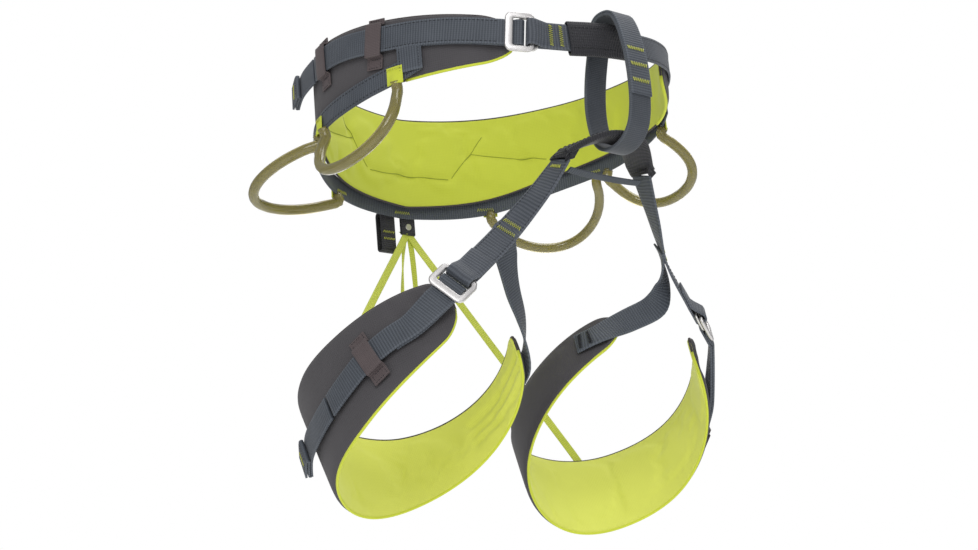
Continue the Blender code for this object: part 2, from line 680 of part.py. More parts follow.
def gear_loop(name, side, angles, depth, bulge, skew, swing):
    """One loop between two angles of the belt. The swing is in degrees from hanging straight down."""
    ends = [waist.at(side * angle, lower_webbing_edge(angle) - GEAR_DROP, 0.0015) for angle in angles]
    middle = (ends[0] + ends[1]) / 2
    chord = ends[1] - ends[0]
    length = np.linalg.norm(chord)
    chord = chord / length
    down = unit(np.array([0, 0, -1]) - chord * -chord[2])
    out = np.cross(down, chord)
    out = out * np.sign(np.dot(out, middle * (1, 1, 0)))
    turn = math.radians(swing)
    hang = down * math.cos(turn) + out * math.sin(turn)
    points = []
    for t in np.linspace(0, math.pi, 17):
        along = -math.cos(t) * (1 + bulge * math.sin(t)) * length / 2 + skew * math.sin(t)
        points.append(middle + chord * along + hang * depth * max(math.sin(t), 0) ** 0.8)
    pipe = tube(f"{name}_tube", points, GEAR_TUBE - GEAR_TUBE_WALL, TUBE_OLIVE)
    pipe.data.use_fill_caps = False
    thicken(pipe, GEAR_TUBE_WALL)
    core = tube(f"{name}_cord", points, GEAR_CORE, LINING_LIME)
    for piece in (pipe, core):
        set_origin(piece, ends[0])


def gear_tab(name, side, angle):
    """The sewn patch over the ends of gear loops, on the lower webbing."""
    turns = (-6, 0, 6)
    line = [waist.at(side * (angle + turn), lower_webbing_edge(angle) + 0.0065, SPINE_OUT) for turn in turns]
    spine = Spine(line, [waist.normal(side * (angle + turn)) for turn in turns])
    face_box(name, spine, spine.length / 2, GEAR_TAB, WEBBING / 2 + LAYER_GAP + GEAR_TAB[2] / 2, THREAD_LIME)


GEAR_FRONT = (66.0, 99.0)
GEAR_REAR = (104.6, 147.0)
gear_loop("gear_loop_front_right", -1, GEAR_FRONT, 0.050, 0.25, -0.003, 26)
gear_loop("gear_loop_front_left", 1, GEAR_FRONT, 0.050, 0.25, -0.003, 50)
gear_loop("gear_loop_rear_right", -1, GEAR_REAR, 0.062, -0.17, -0.004, 74)
gear_loop("gear_loop_rear_left", 1, GEAR_REAR, 0.062, -0.17, -0.004, 66)
for side, name in ((-1, "right"), (1, "left")):
    gear_tab(f"gear_tab_front_{name}", side, GEAR_FRONT[0])
    gear_tab(f"gear_tab_middle_{name}", side, (GEAR_FRONT[1] + GEAR_REAR[0]) / 2)
    gear_tab(f"gear_tab_rear_{name}", side, GEAR_REAR[1])

# Back of the belt: the tab for the leg elastics with its rivet, and the haul loop

webbing_back = waist.at(180, 0, SPINE_OUT + WEBBING / 2)[1]
back_low = lower_webbing_edge(180)


def back_box(name, x, z, size, gap, colour):
    """A sewn piece on the outer face of the belt's webbing, as (width, height, thickness)."""
    line = [(x + shift, webbing_back + gap + size[2] / 2, z) for shift in (0.010, 0, -0.010)]
    spine = Spine(line, [(0, 1, 0)] * 3)
    return face_box(name, spine, spine.length / 2, size, 0, colour)


back_box("rear_tab", REAR_TAB_X, back_low - REAR_TAB[1] / 2 + 0.009, REAR_TAB, LAYER_GAP, SLEEVE_BLACK)
rivet_mesh = bmesh.new()
bmesh.ops.create_cone(rivet_mesh, cap_ends=True, segments=14, radius1=RIVET_RADIUS, radius2=RIVET_RADIUS * 0.8,
                      depth=RIVET_HEIGHT, matrix=Matrix.Rotation(math.radians(-90), 4, "X"))
rivet_data = bpy.data.meshes.new("rear_tab_rivet")
rivet_mesh.to_mesh(rivet_data)
rivet_mesh.free()
rivet = finish_object("rear_tab_rivet", rivet_data, ALLOY, 0.35, 1.0)
rivet.location = (REAR_TAB_X, webbing_back + LAYER_GAP + REAR_TAB[2] + CLEARANCE + RIVET_HEIGHT / 2, back_low - 0.006)

haul_pivot = np.array([HAUL_X, webbing_back + HAUL_DEPTH / 2 + 0.0016, back_low + 0.001])
haul_line = []
for turn in np.linspace(90, 450, 13)[:-1]:
    around = math.radians(turn)
    drop = (HAUL_LENGTH - HAUL_DEPTH) if math.sin(around) < -0.01 else 0
    haul_line.append((math.cos(around) * HAUL_DEPTH / 2, math.sin(around) * HAUL_DEPTH / 2 - drop))
haul_mesh = bmesh.new()
ring = bmesh.ops.create_circle(haul_mesh, segments=len(haul_line), radius=1)
for vertex, (y, z) in zip(ring["verts"], haul_line):
    vertex.co = (-HAUL_WIDTH / 2, y, z)
wall = bmesh.ops.extrude_edge_only(haul_mesh, edges=haul_mesh.edges[:])
for vertex in (item for item in wall["geom"] if isinstance(item, bmesh.types.BMVert)):
    vertex.co.x = HAUL_WIDTH / 2
bmesh.ops.recalc_face_normals(haul_mesh, faces=haul_mesh.faces)
haul_data = bpy.data.meshes.new("haul_loop")
haul_mesh.to_mesh(haul_data)
haul_mesh.free()
haul_loop = finish_object("haul_loop", haul_data, SLEEVE_BLACK)
thicken(haul_loop, WEBBING)
haul_loop.location = haul_pivot

# Elastics from the tab to the back of each leg loop, and the slack one that hangs from the tab

tab_low = back_low - REAR_TAB[1] + 0.009 - LAYER_GAP
elastic_back = webbing_back + LAYER_GAP + REAR_TAB[2] / 2
for name, (side, centre, lean, outward, turn) in LEG_POSES.items():
    oval = Oval(centre, LEG_HALF_WIDTH, LEG_HALF_DEPTH, LEG_HALF_DEPTH,
                leg_axes(side, lean, outward, turn), side=side, flare=LEG_FLARE)
    top = np.array([REAR_TAB_X + side * 0.0038, elastic_back, tab_low - 0.0022])
    foot = oval.at(LEG_ELASTIC[name], edge_height((*LEG_STATIONS, 360), LEG_TOP + LEG_TOP[:1], LEG_ELASTIC[name])
                   + HINGE_GAP, -FOAM / 2)
    places = [top + (foot - top) * share for share in (0, 0.3, 0.7, 1)]
    normals = [(0, 1, 0), (0, 1, 0), oval.normal(LEG_ELASTIC[name]), oval.normal(LEG_ELASTIC[name])]
    spine = Spine(places, normals)
    strap(f"elastic_{name}", spine, run(0, spine.length, 0, 0.03), ELASTIC_WIDTH, ELASTIC_THICKNESS, LINING_LIME)
SLACK_LINE = (
    ((2.5, 0, 0), (0, 1, 0)), ((-1, 0, -22), (-0.7, 0.7, 0)), ((-4, 0, -55), (-1, 0, 0)), ((-1, 0, -68), (-0.7, 0, -0.7)),
    ((3, 0, -71), (0, 0, -1)), ((7, 0, -68), (0.7, 0, -0.7)), ((10, 0, -55), (1, 0, 0)), ((9.5, 0, -22), (0.7, 0.7, 0)),
    ((7.5, 0, 0), (0, 1, 0)),
)
slack_places = [(x * MM, elastic_back + ELASTIC_THICKNESS + CLEARANCE + y * MM, tab_low + z * MM) for (x, y, z), _ in SLACK_LINE]
slack_spine = Spine(slack_places, [normal for _, normal in SLACK_LINE])
strap("elastic_slack", slack_spine, run(0, slack_spine.length, 0, 0.009), ELASTIC_WIDTH * 0.7, ELASTIC_THICKNESS,
      LINING_LIME)
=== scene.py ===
"""A climbing sit harness: its padded belt and leg loops, webbing, buckles and stitching."""
import math

import bmesh
import bpy
import numpy as np
from mathutils import Matrix, Vector


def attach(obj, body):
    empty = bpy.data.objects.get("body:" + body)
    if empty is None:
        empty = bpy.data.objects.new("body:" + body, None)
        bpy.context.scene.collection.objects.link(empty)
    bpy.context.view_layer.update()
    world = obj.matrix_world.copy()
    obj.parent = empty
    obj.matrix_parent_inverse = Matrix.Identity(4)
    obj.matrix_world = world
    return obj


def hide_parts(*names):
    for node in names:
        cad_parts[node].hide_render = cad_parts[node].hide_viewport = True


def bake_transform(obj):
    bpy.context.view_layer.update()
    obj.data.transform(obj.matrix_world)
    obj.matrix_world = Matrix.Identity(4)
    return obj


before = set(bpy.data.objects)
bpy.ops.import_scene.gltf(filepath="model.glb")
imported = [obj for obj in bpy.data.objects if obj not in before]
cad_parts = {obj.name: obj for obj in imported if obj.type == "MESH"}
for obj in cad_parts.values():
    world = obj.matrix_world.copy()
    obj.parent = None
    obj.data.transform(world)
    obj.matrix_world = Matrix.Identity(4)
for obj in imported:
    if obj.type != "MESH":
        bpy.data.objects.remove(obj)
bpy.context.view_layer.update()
MM = 0.001

# The room. A white studio: a pale floor a metre below the belt, one large soft light in front,
# one above and one behind, and a long lens that looks up at the harness from its right side.


def unit(vector):
    vector = np.asarray(vector, float)
    return vector / np.linalg.norm(vector)


def linear(hex_colour):
    """An sRGB hex colour as the linear red, green, blue and alpha that a shader takes."""
    parts = [int(hex_colour[i:i + 2], 16) / 255 for i in (1, 3, 5)]
    return [c / 12.92 if c <= 0.04045 else ((c + 0.055) / 1.055) ** 2.4 for c in parts] + [1]


def add_node(tree, kind, settings=None, inputs=None):
    """A shader node. An input is given as another node's socket, or as a constant."""
    node = tree.nodes.new(f"ShaderNode{kind}")
    for key, value in (settings or {}).items():
        setattr(node, key, value)
    for key, value in (inputs or {}).items():
        if isinstance(value, bpy.types.NodeSocket):
            tree.links.new(value, node.inputs[key])
        else:
            node.inputs[key].default_value = value
    return node


def new_material(name, constants):
    """A material and its nodes, with the shader's constants set."""
    material = bpy.data.materials.new(name)
    material.use_nodes = True
    shader = material.node_tree.nodes["Principled BSDF"]
    for socket, value in constants.items():
        shader.inputs[socket].default_value = value
    return material, material.node_tree, shader


def add_object(name, data):
    item = bpy.data.objects.new(name, data)
    bpy.context.scene.collection.objects.link(item)
    return item


def mesh_data(mesh, name, *materials, smooth=True):
    """A bmesh as a mesh with its materials. The bmesh is freed."""
    for face in mesh.faces:
        face.smooth = smooth
    data = bpy.data.meshes.new(name)
    mesh.to_mesh(data)
    mesh.free()
    for material in materials:
        data.materials.append(material)
    return data


LOOK_AT = Vector((0, 0.0145, -0.142))
AZIMUTH, ELEVATION, ROLL = math.radians(-39.5), math.radians(-16.5), math.radians(-5)
DISTANCE = 1.42

backwards = Vector((math.sin(AZIMUTH) * math.cos(ELEVATION), -math.cos(AZIMUTH) * math.cos(ELEVATION),
                    math.sin(ELEVATION)))
camera = add_object("camera", bpy.data.cameras.new("camera"))
camera.data.sensor_width = 36
camera.data.lens = 66
camera.rotation_mode = "QUATERNION"
level = backwards.to_track_quat("Z", "Y")
camera.rotation_quaternion = level @ Matrix.Rotation(ROLL, 4, "Z").to_quaternion()
camera.location = LOOK_AT + backwards * DISTANCE
bpy.context.scene.camera = camera


def soft_light(name, place, size, power):
    light = add_object(name, bpy.data.lights.new(name, "AREA"))
    light.data.size = size
    light.data.energy = power
    light.location = place
    light.rotation_mode = "QUATERNION"
    light.rotation_quaternion = (Vector(place) - LOOK_AT).to_track_quat("Z", "Y")


soft_light("key_light", (-1.5, -1.6, 0.9), 1.4, 22)
soft_light("top_light", (0.6, -0.3, 1.7), 1.6, 22)
soft_light("back_light", (1.3, 1.5, 0.2), 1.4, 10)

world = bpy.data.worlds.new("white studio")
world.use_nodes = True
# The white backdrop is bright behind the harness, and lights it only softly
sky = world.node_tree.nodes["Background"]
seen = add_node(world.node_tree, "LightPath")
MULTIPLY_ADD = {"operation": "MULTIPLY_ADD"}
strength = add_node(world.node_tree, "Math", MULTIPLY_ADD,
                    {0: seen.outputs["Is Camera Ray"], 1: 0.62, 2: 0.38})
world.node_tree.links.new(strength.outputs[0], sky.inputs["Strength"])
sky.inputs["Color"].default_value = (1.0, 1.0, 1.0, 1)
bpy.context.scene.world = world
bpy.context.scene.view_settings.view_transform = "Standard"

# The floor is lit from below through a diffuser, so that it stays pale far from the lights
paint, _, _ = new_material("white floor paint", {
    "Base Color": (0.86, 0.86, 0.85, 1), "Roughness": 0.7,
    "Emission Color": (1.0, 1.0, 1.0, 1), "Emission Strength": 0.34,
})
floor_mesh = bmesh.new()
bmesh.ops.create_grid(floor_mesh, x_segments=1, y_segments=1, size=30)
bmesh.ops.translate(floor_mesh, verts=floor_mesh.verts, vec=(0, 0, -1.0))
floor = add_object("floor", mesh_data(floor_mesh, "floor", paint, smooth=False))

# The belt's pad. Closed-cell foam between a dark woven cloth outside and a lime knitted lining
# inside, sewn round the edge and pressed into channels where it has to bend round the hips.

SPAN = 0.0028               # the size of a cloth cell before it is smoothed
CLOTH_MOVE = 0.0011         # as far as the stuffing may push the cloth
PAD_OUTER_FACE = -0.0009    # the cloth's two faces, measured out from the belt's line
PAD_INNER_FACE = -0.0058
PAD_MIDDLE = (PAD_OUTER_FACE + PAD_INNER_FACE) / 2
PAD_EDGE = 0.0022           # its thickness where it is sewn
PAD_EDGE_ROUND = 0.009
PAD_ROWS = 28
WAVE_SCALE = 0.314159       # over a spacing in metres, the scale of a wave texture of that spacing


def catmull_rom(points, per_span):
    """Points on a smooth curve through the given ones."""
    points = np.asarray(points, float)
    padded = np.vstack([2 * points[0] - points[1], points, 2 * points[-1] - points[-2]])
    curve = []
    for before, start, end, after in zip(padded, padded[1:], padded[2:], padded[3:]):
        for t in np.linspace(0, 1, per_span, endpoint=False):
            curve.append(
                start
                + (end - before) * t / 2
                + (2 * before - 5 * start + 4 * end - after) * t**2 / 2
                + (3 * start - before - 3 * end + after) * t**3 / 2
            )
    return np.array(curve + [points[-1]])


def edge_height(stations, values, angle):
    """The height of an edge at an angle round the body, or at each of a list of them."""
    line = catmull_rom(np.column_stack([stations, values]), 12)
    return np.interp(angle, line[:, 0], line[:, 1])


def distances(places):
    """How far along a line each of its places lies."""
    steps = np.linalg.norm(np.diff(places, axis=0), axis=1)
    return np.concatenate([[0], np.cumsum(steps)])


class Oval:
    """The path of a belt or leg loop. Angles are in degrees from the front."""

    def __init__(self, centre, half_width, front, rear, axes, side=1, tilt=0.0, flare=0.0):
        self.centre = np.array(centre, float)
        self.half_width = half_width
        self.front = front
        self.rear = rear
        self.axes = axes
        self.side = side
        self.tilt = tilt
        self.flare = flare

    def normal(self, angle):
        turn = math.radians(angle)
        depth = self.front if math.cos(turn) > 0 else self.rear
        across, back, _ = self.axes
        return unit(self.side * math.sin(turn) / self.half_width * across
                    - math.cos(turn) / depth * back)

    def at(self, angle, height, out=0.0):
        turn = math.radians(angle)
        depth = self.front if math.cos(turn) > 0 else self.rear
        grow = 1 + self.flare * height
        across, back, up = self.axes
        x = self.side * self.half_width * grow * math.sin(turn)
        place = self.centre + x * across - depth * grow * math.cos(turn) * back
        return place + (height + self.tilt * x) * up + out * self.normal(angle)


def dress_shader(tree, shader, factor, colours, relief=None):
    """Gives a shader a mix of two colours and, where one is given, a (height, depth, strength) relief."""
    tint = add_node(tree, "Mix", {"data_type": "RGBA"},
                    {"Factor": factor, 6: linear(colours[0]), 7: linear(colours[1])})
    tree.links.new(tint.outputs[2], shader.inputs["Base Color"])
    if relief:
        bump = add_node(tree, "Bump", None, dict(zip(("Height", "Distance", "Strength"), relief)))
        tree.links.new(bump.outputs["Normal"], shader.inputs["Normal"])


def cloth_material(name, colour, dark, thread, depth, roughness, sheen, mottle=0.5):
    """Woven or knitted cloth: two crossing sets of threads, a little uneven in colour."""
    material, tree, shader = new_material(name, {
        "Roughness": roughness, "Specular IOR Level": 0.3, "Sheen Weight": sheen, "Sheen Roughness": 0.5,
    })
    lie = add_node(tree, "Attribute", {"attribute_name": "lie"}).outputs["Vector"]
    place = add_node(tree, "TexCoord").outputs["Object"]
    warp, weft = (add_node(tree, "TexWave", {"bands_direction": way},
                           {"Vector": lie, "Scale": WAVE_SCALE / thread}) for way in "XY")
    cloud, grain = (add_node(tree, "TexNoise", None, {"Vector": place, "Scale": scale, "Detail": detail})
                    for scale, detail in ((38.0, 4.0), (900.0, 2.0)))
    weave = add_node(tree, "Math", {"operation": "MULTIPLY"},
                     {0: warp.outputs["Fac"], 1: weft.outputs["Fac"]})
    patch = add_node(tree, "Math", MULTIPLY_ADD, {0: cloud.outputs["Fac"], 1: mottle, 2: -0.1})
    mixed = add_node(tree, "Math", {**MULTIPLY_ADD, "use_clamp": True},
                     {0: weave.outputs[0], 1: 0.35, 2: patch.outputs[0]})
    rough = add_node(tree, "Math", MULTIPLY_ADD, {0: grain.outputs["Fac"], 1: 0.5, 2: weave.outputs[0]})
    dress_shader(tree, shader, mixed.outputs[0], (colour, dark), (rough.outputs[0], depth, 0.8))
    return material


# A matt polyester pack cloth: charcoal with a brown cast, its threads only just seen
PACK_CLOTH = cloth_material("charcoal pack cloth", "#525053", "#3c3a3d", 0.0016, 0.00012, 0.85, 0.10)
# A fine polyester knit: bright lime, soft and a little paler where the light grazes it
LINING_KNIT = cloth_material("lime knitted lining", "#c8d145", "#b3bc37", 0.0014, 0.00010, 0.8, 0.15, 0.3)
# The leg loops' lining is the same knit, drawn in a paler lime
PALE_KNIT = cloth_material("pale lime knitted lining", "#e2e76c", "#cdd454", 0.0014, 0.00010, 0.8, 0.15, 0.3)
LIME_BINDING = cloth_material("lime binding tape", "#d8e24a", "#aab52c", 0.0008, 0.00015, 0.75, 0.1)


def new_piece(name, data, body=None, parent=None, replaces=(), slot=None):
    """Links a finished piece, and says what carries it and which solids it stands for."""
    piece = add_object(name, data)
    if parent is not None:
        piece.parent = parent
    if body is not None:
        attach(piece, body)
    if replaces:
        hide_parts(*replaces)
    return piece


def add_solidify(piece, thickness):
    modifier = piece.modifiers.new("thickness", "SOLIDIFY")
    modifier.thickness = thickness
    modifier.offset = 0
    modifier.use_even_offset = True


def add_bevel(piece, width):
    modifier = piece.modifiers.new("soft edge", "BEVEL")
    modifier.width = width
    modifier.segments = 2
    modifier.limit_method = "ANGLE"
    modifier.angle_limit = math.radians(50)


def add_subdivision(piece):
    modifier = piece.modifiers.new("smooth", "SUBSURF")
    modifier.levels = modifier.render_levels = 1


def rounded_end(share):
    """How much of a pad's height is left near its end, from 0 at the end to 1."""
    return math.sqrt(1 - (1 - min(max(share, 0), 1)) ** 2) * 0.72 + 0.28


class Pad:
    """A pad's outline on its oval: the angles it runs between and the two edges that close it."""

    def __init__(self, oval, start, end, stations, bottom, top, round_off, folded=False):
        self.oval = oval
        self.angles = np.linspace(start, end, 241)
        read = [min(a % 360, 360 - a % 360) if folded else a for a in self.angles]
        low, high = (edge_height(stations, edge, read) for edge in (bottom, top))
        keep = [rounded_end(min(a - start, end - a) / round_off) for a in self.angles]
        middle = (low + high) / 2
        self.low = middle + (low - middle) * keep
        self.high = middle + (high - middle) * keep
        self.along = distances([oval.at(a, 0) for a in self.angles])

    def edges(self, angle):
        return np.interp(angle, self.angles, self.low), np.interp(angle, self.angles, self.high)

    def angle_at(self, distance):
        return np.interp(distance, self.along, self.angles)

    def flat(self, angle, height):
        """A spot of the pad as (distance along it, height)."""
        return float(np.interp(angle, self.angles, self.along)), height


def thickness_share(distance):
    """How full a pad is at a distance from its sewn edge, from 0 at the edge to 1."""
    share = min(max(distance / PAD_EDGE_ROUND, 0), 1)
    return math.sqrt(1 - (1 - share) ** 2)


def grid_mesh(rows, lies):
    """A grid through rows of places, each given its spot on the flat cloth, and the vertices in order."""
    mesh = bmesh.new()
    lie = mesh.verts.layers.float_vector.new("lie")
    length = len(rows[0])
    bmesh.ops.create_grid(mesh, x_segments=length - 1, y_segments=len(rows) - 1, size=1)
    ordered = sorted(mesh.verts, key=lambda v: (round(v.co.y, 5), round(v.co.x, 5)))
    for i, vertex in enumerate(ordered):
        row, column = divmod(i, length)
        vertex.co = rows[row][column]
        vertex[lie] = lies[row][column]
    return mesh, ordered


def set_order(items, key):
    """Puts a bmesh's vertices, edges or faces in an order that is the same on every run."""
    rank = {item: i for i, item in enumerate(sorted(items, key=key))}
    items.sort(key=rank.get)
    items.index_update()


def sew_pad(name, pad, body, replaces, press, lining):
    """The pad as one closed cloth shell, puffed by a short cloth simulation and pressed into its channels."""
    whole = pad.along[-1]
    columns = round(whole / SPAN)
    outer_rows, inner_places, lies = [], [], []
    for row in range(PAD_ROWS + 1):
        outer_rows.append([])
        lies.append([])
        for distance in (whole * column / columns for column in range(columns + 1)):
            angle = pad.angle_at(distance)
            low, high = pad.edges(angle)
            height = low + (high - low) * row / PAD_ROWS
            inset = min(height - low, high - height, distance, whole - distance)
            full = (PAD_OUTER_FACE - PAD_INNER_FACE - PAD_EDGE) / 2 * thickness_share(inset) + PAD_EDGE / 2
            outer_rows[-1].append(pad.oval.at(angle, height, PAD_MIDDLE + full))
            inner_places.append(pad.oval.at(angle, height, PAD_MIDDLE - full))
            lies[-1].append((distance, height, 0))
    mesh, ordered = grid_mesh(outer_rows, lies)
    lie = mesh.verts.layers.float_vector["lie"]
    behind = {tuple(round(c, 7) for c in vertex.co): place for vertex, place in zip(ordered, inner_places)}
    outer = set(mesh.verts)
    made = bmesh.ops.extrude_face_region(mesh, geom=mesh.faces[:], use_keep_orig=True)
    for vertex in made["geom"]:
        if isinstance(vertex, bmesh.types.BMVert):
            vertex.co = behind[tuple(round(c, 7) for c in vertex.co)]
            vertex[lie] = (*vertex[lie][:2], 1)
    bmesh.ops.recalc_face_normals(mesh, faces=mesh.faces)
    for face in mesh.faces:
        face.material_index = 0 if all(v in outer for v in face.verts) else 1
    # Extruding leaves its copies in an order that changes from run to run, which the cloth would feel
    set_order(mesh.verts, lambda v: tuple(v[lie]))
    set_order(mesh.edges, lambda e: sorted(v.index for v in e.verts))
    set_order(mesh.faces, lambda f: sorted(v.index for v in f.verts))
    data = mesh_data(mesh, name, PACK_CLOTH, lining)
    piece = new_piece(name, data)
    puff(piece)
    for vertex, spot in zip(data.vertices, data.attributes["lie"].data):
        distance, height, side = spot.vector
        push = press(distance, height) if side > 0.5 else 0
        vertex.co += Vector(pad.oval.normal(pad.angle_at(distance))) * push
    add_subdivision(piece)
    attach(piece, body)
    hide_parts(*replaces)
    return piece


def puff(piece):
    """Lets the stuffing push a pad's cloth out, no further than CLOTH_MOVE, with its sewn edge held."""
    data = piece.data
    rest = np.array([v.co for v in data.vertices])
    sides = np.array([spot.vector[2] for spot in data.attributes["lie"].data])
    rim = set()
    for face in data.polygons:
        if len({sides[corner] for corner in face.vertices}) > 1:
            rim.update(face.vertices)
    held = piece.vertex_groups.new(name="sewn")
    held.add(sorted(rim), 1.0, "REPLACE")
    cloth = piece.modifiers.new("stuffing", "CLOTH")
    cloth.settings.quality = 4
    cloth.settings.mass = 0.2
    cloth.settings.tension_stiffness = 12
    cloth.settings.compression_stiffness = 10
    cloth.settings.bending_stiffness = 0.4
    cloth.settings.use_pressure = True
    cloth.settings.uniform_pressure_force = 4
    cloth.settings.effector_weights.gravity = 0
    cloth.settings.vertex_group_mass = "sewn"
    cloth.settings.shrink_min = -0.02
    cloth.collision_settings.use_collision = False
    cloth.collision_settings.use_self_collision = False
    scene = bpy.context.scene
    for number in range(1, 21):
        scene.frame_set(number)
    graph = bpy.context.evaluated_depsgraph_get()
    moved = np.array([v.co for v in piece.evaluated_get(graph).data.vertices])
    scene.frame_set(1)
    piece.modifiers.remove(cloth)
    piece.vertex_groups.remove(held)
    shift = moved - rest
    size = np.linalg.norm(shift, axis=1, keepdims=True)
    shift *= np.tanh(size / CLOTH_MOVE) * CLOTH_MOVE / np.maximum(size, 1e-9)
    data.vertices.foreach_set("co", (rest + shift).astype(np.float32).ravel())
    data.update()


def near_line(point, start, end, width):
    """1 on a line between two points, fading to 0 at half the width from it."""
    point, start, end = (np.array(p, float) for p in (point, start, end))
    way = end - start
    share = min(max(np.dot(point - start, way) / np.dot(way, way), 0), 1)
    gap = np.linalg.norm(point - start - way * share)
    return math.exp(-((gap / (width / 2)) ** 2))


WAIST_STATIONS = (30, 60, 90, 120, 150, 180)
WAIST_TOP = (0.008, 0.023, 0.033, 0.034, 0.030, 0.026)
WAIST_BOTTOM = (-0.023, -0.025, -0.023, -0.029, -0.045, -0.053)
world_axes = (np.array([1.0, 0, 0]), np.array([0, 1.0, 0]), np.array([0, 0, 1.0]))
waist = Oval((0, 0, 0), 0.145, 0.150, 0.119, world_axes, tilt=0.04)
WAIST_PAD_ENDS = (34.0, 329.0)
LIME_ENDS = (64.0, 296.0)   # where the lime binding gives way to umber on the lower edge
waist_pad = Pad(waist, *WAIST_PAD_ENDS, WAIST_STATIONS, WAIST_BOTTOM, WAIST_TOP, 10, folded=True)
# The channels pressed in the lining, as (angle, height) corners: a trough, and a line from each
# side of it
WAIST_CHANNELS = (
    ((148, 0.016), (162, -0.026)), ((162, -0.026), (198, -0.026)), ((198, -0.026), (212, 0.016)),
    ((155, -0.002), (123, -0.014)), ((205, -0.002), (237, -0.014)),
)
channel_lines = [[waist_pad.flat(*corner) for corner in line] for line in WAIST_CHANNELS]


def press_waist(distance, height):
    return 0.0013 * max(near_line((distance, height), *line, 0.008) for line in channel_lines)


pad_piece = sew_pad("waist_pad", waist_pad, "belt", ("waist_pad_shell", "waist_pad_foam", "waist_pad_lining"),
                    press_waist, LINING_KNIT)

CREASE_SHADE_RADIUS = 0.00035
# A darker lime drawn as thin lines in the pressed channels: painted shade where the channels would lie in
# shadow
painted_crease_shade = cloth_material("painted crease shade", "#8f9a2a", "#7c8722", 0.0014, 0.00010, 0.85, 0.1)


def crease_shade_lines(piece, pad, lines):
    """Places along the bottom of each pressed channel on the lining, for a darker line of painted shade."""
    bpy.context.view_layer.update()
    creases = []
    for (a0, h0), (a1, h1) in lines:
        spots = [pad.oval.at(a0 + (a1 - a0) * share, h0 + (h1 - h0) * share, PAD_INNER_FACE - 0.004)
                 for share in np.linspace(0.03, 0.97, 40)]
        line = np.array([piece.closest_point_on_mesh(Vector(spot))[1] for spot in spots])
        for _ in range(6):
            line[1:-1] = (line[:-2] + 2 * line[1:-1] + line[2:]) / 4
        creases.append(line)
    return creases


# The binding. A narrow tape is folded over the pad's raw edge and sewn: lime along the front of the
# lower edge, and umber along the rest. A darker lime line along the bottom of each pressed channel is painted
# shade.

BINDING = 0.0009            # how far the folded tape stands out from the edge it covers
LIME_BINDING_RADIUS = 0.0011 * 1.15


def curve_mesh(curve):
    """A curve's surface as a bmesh with its doubles merged. The curve is removed."""
    source = bpy.data.objects.new(curve.name, curve)
    data = bpy.data.meshes.new_from_object(source)
    bpy.data.objects.remove(source)
    bpy.data.curves.remove(curve)
    mesh = bmesh.new()
    mesh.from_mesh(data)
    bpy.data.meshes.remove(data)
    bmesh.ops.remove_doubles(mesh, verts=mesh.verts, dist=1e-6)
    return mesh


def tube_mesh(name, lines, radius, material, sides):
    """Round cord or thread along lists of places, as one mesh."""
    curve = bpy.data.curves.new(name, "CURVE")
    curve.dimensions = "3D"
    curve.bevel_depth = radius
    curve.bevel_resolution = sides
    curve.use_fill_caps = True
    for line in lines:
        spline = curve.splines.new("POLY")
        spline.points.add(len(line) - 1)
        places = np.column_stack([line, np.ones(len(line))])
        spline.points.foreach_set("co", places.astype(np.float32).ravel())
    return mesh_data(curve_mesh(curve), name, material)


def sew_lines(name, lines, material, parent, radius, sides=1):
    """Thread or tape along lists of places, carried by the piece it is sewn to."""
    new_piece(name, tube_mesh(name, lines, radius, material, sides), parent=parent)


def pad_edge_line(pad, edge, start, end):
    """Places along a pad's lower (0) or upper (1) edge."""
    count = max(12, round(abs(end - start) * 0.8))
    return [pad.oval.at(a, pad.edges(a)[edge], PAD_MIDDLE) for a in np.linspace(start, end, count)]


def pad_end_line(pad, end):
    """Places across a pad's end."""
    low, high = pad.edges(end)
    return [pad.oval.at(end, height, PAD_MIDDLE) for height in np.linspace(low, high, 6)]


umber_tape = cloth_material("umber binding tape", "#4a4445", "#332f31", 0.0010, 0.00015, 0.8, 0.1)
first, last = WAIST_PAD_ENDS
lime_lines = [pad_edge_line(waist_pad, 0, first, LIME_ENDS[0]),
              pad_edge_line(waist_pad, 0, LIME_ENDS[1], last)]
umber_lines = [pad_edge_line(waist_pad, 1, first, last), pad_edge_line(waist_pad, 0, *LIME_ENDS),
               pad_end_line(waist_pad, first), pad_end_line(waist_pad, last)]
sew_lines("waist_lime_binding", lime_lines, LIME_BINDING, pad_piece, LIME_BINDING_RADIUS, sides=2)
sew_lines("waist_lining_crease_shade", crease_shade_lines(pad_piece, waist_pad, WAIST_CHANNELS), painted_crease_shade,
          pad_piece, CREASE_SHADE_RADIUS)
sew_lines("waist_umber_binding", umber_lines, umber_tape, pad_piece, BINDING, sides=2)

# The webbing. Flat woven polyamide 1.6 mm thick: the band along the belt's lower edge is sewn to the
# pad, and the waist strap runs over the pad from the right hip to the left one, through the buckle.

WEBBING = 0.0016
STRAP_WIDTH = 0.020
CLEARANCE = 0.0003
STACK = WEBBING + CLEARANCE
SPINE_OUT = 0.0016          # from the belt's line to the middle of the webbing
CORD_SPACING = 0.0016


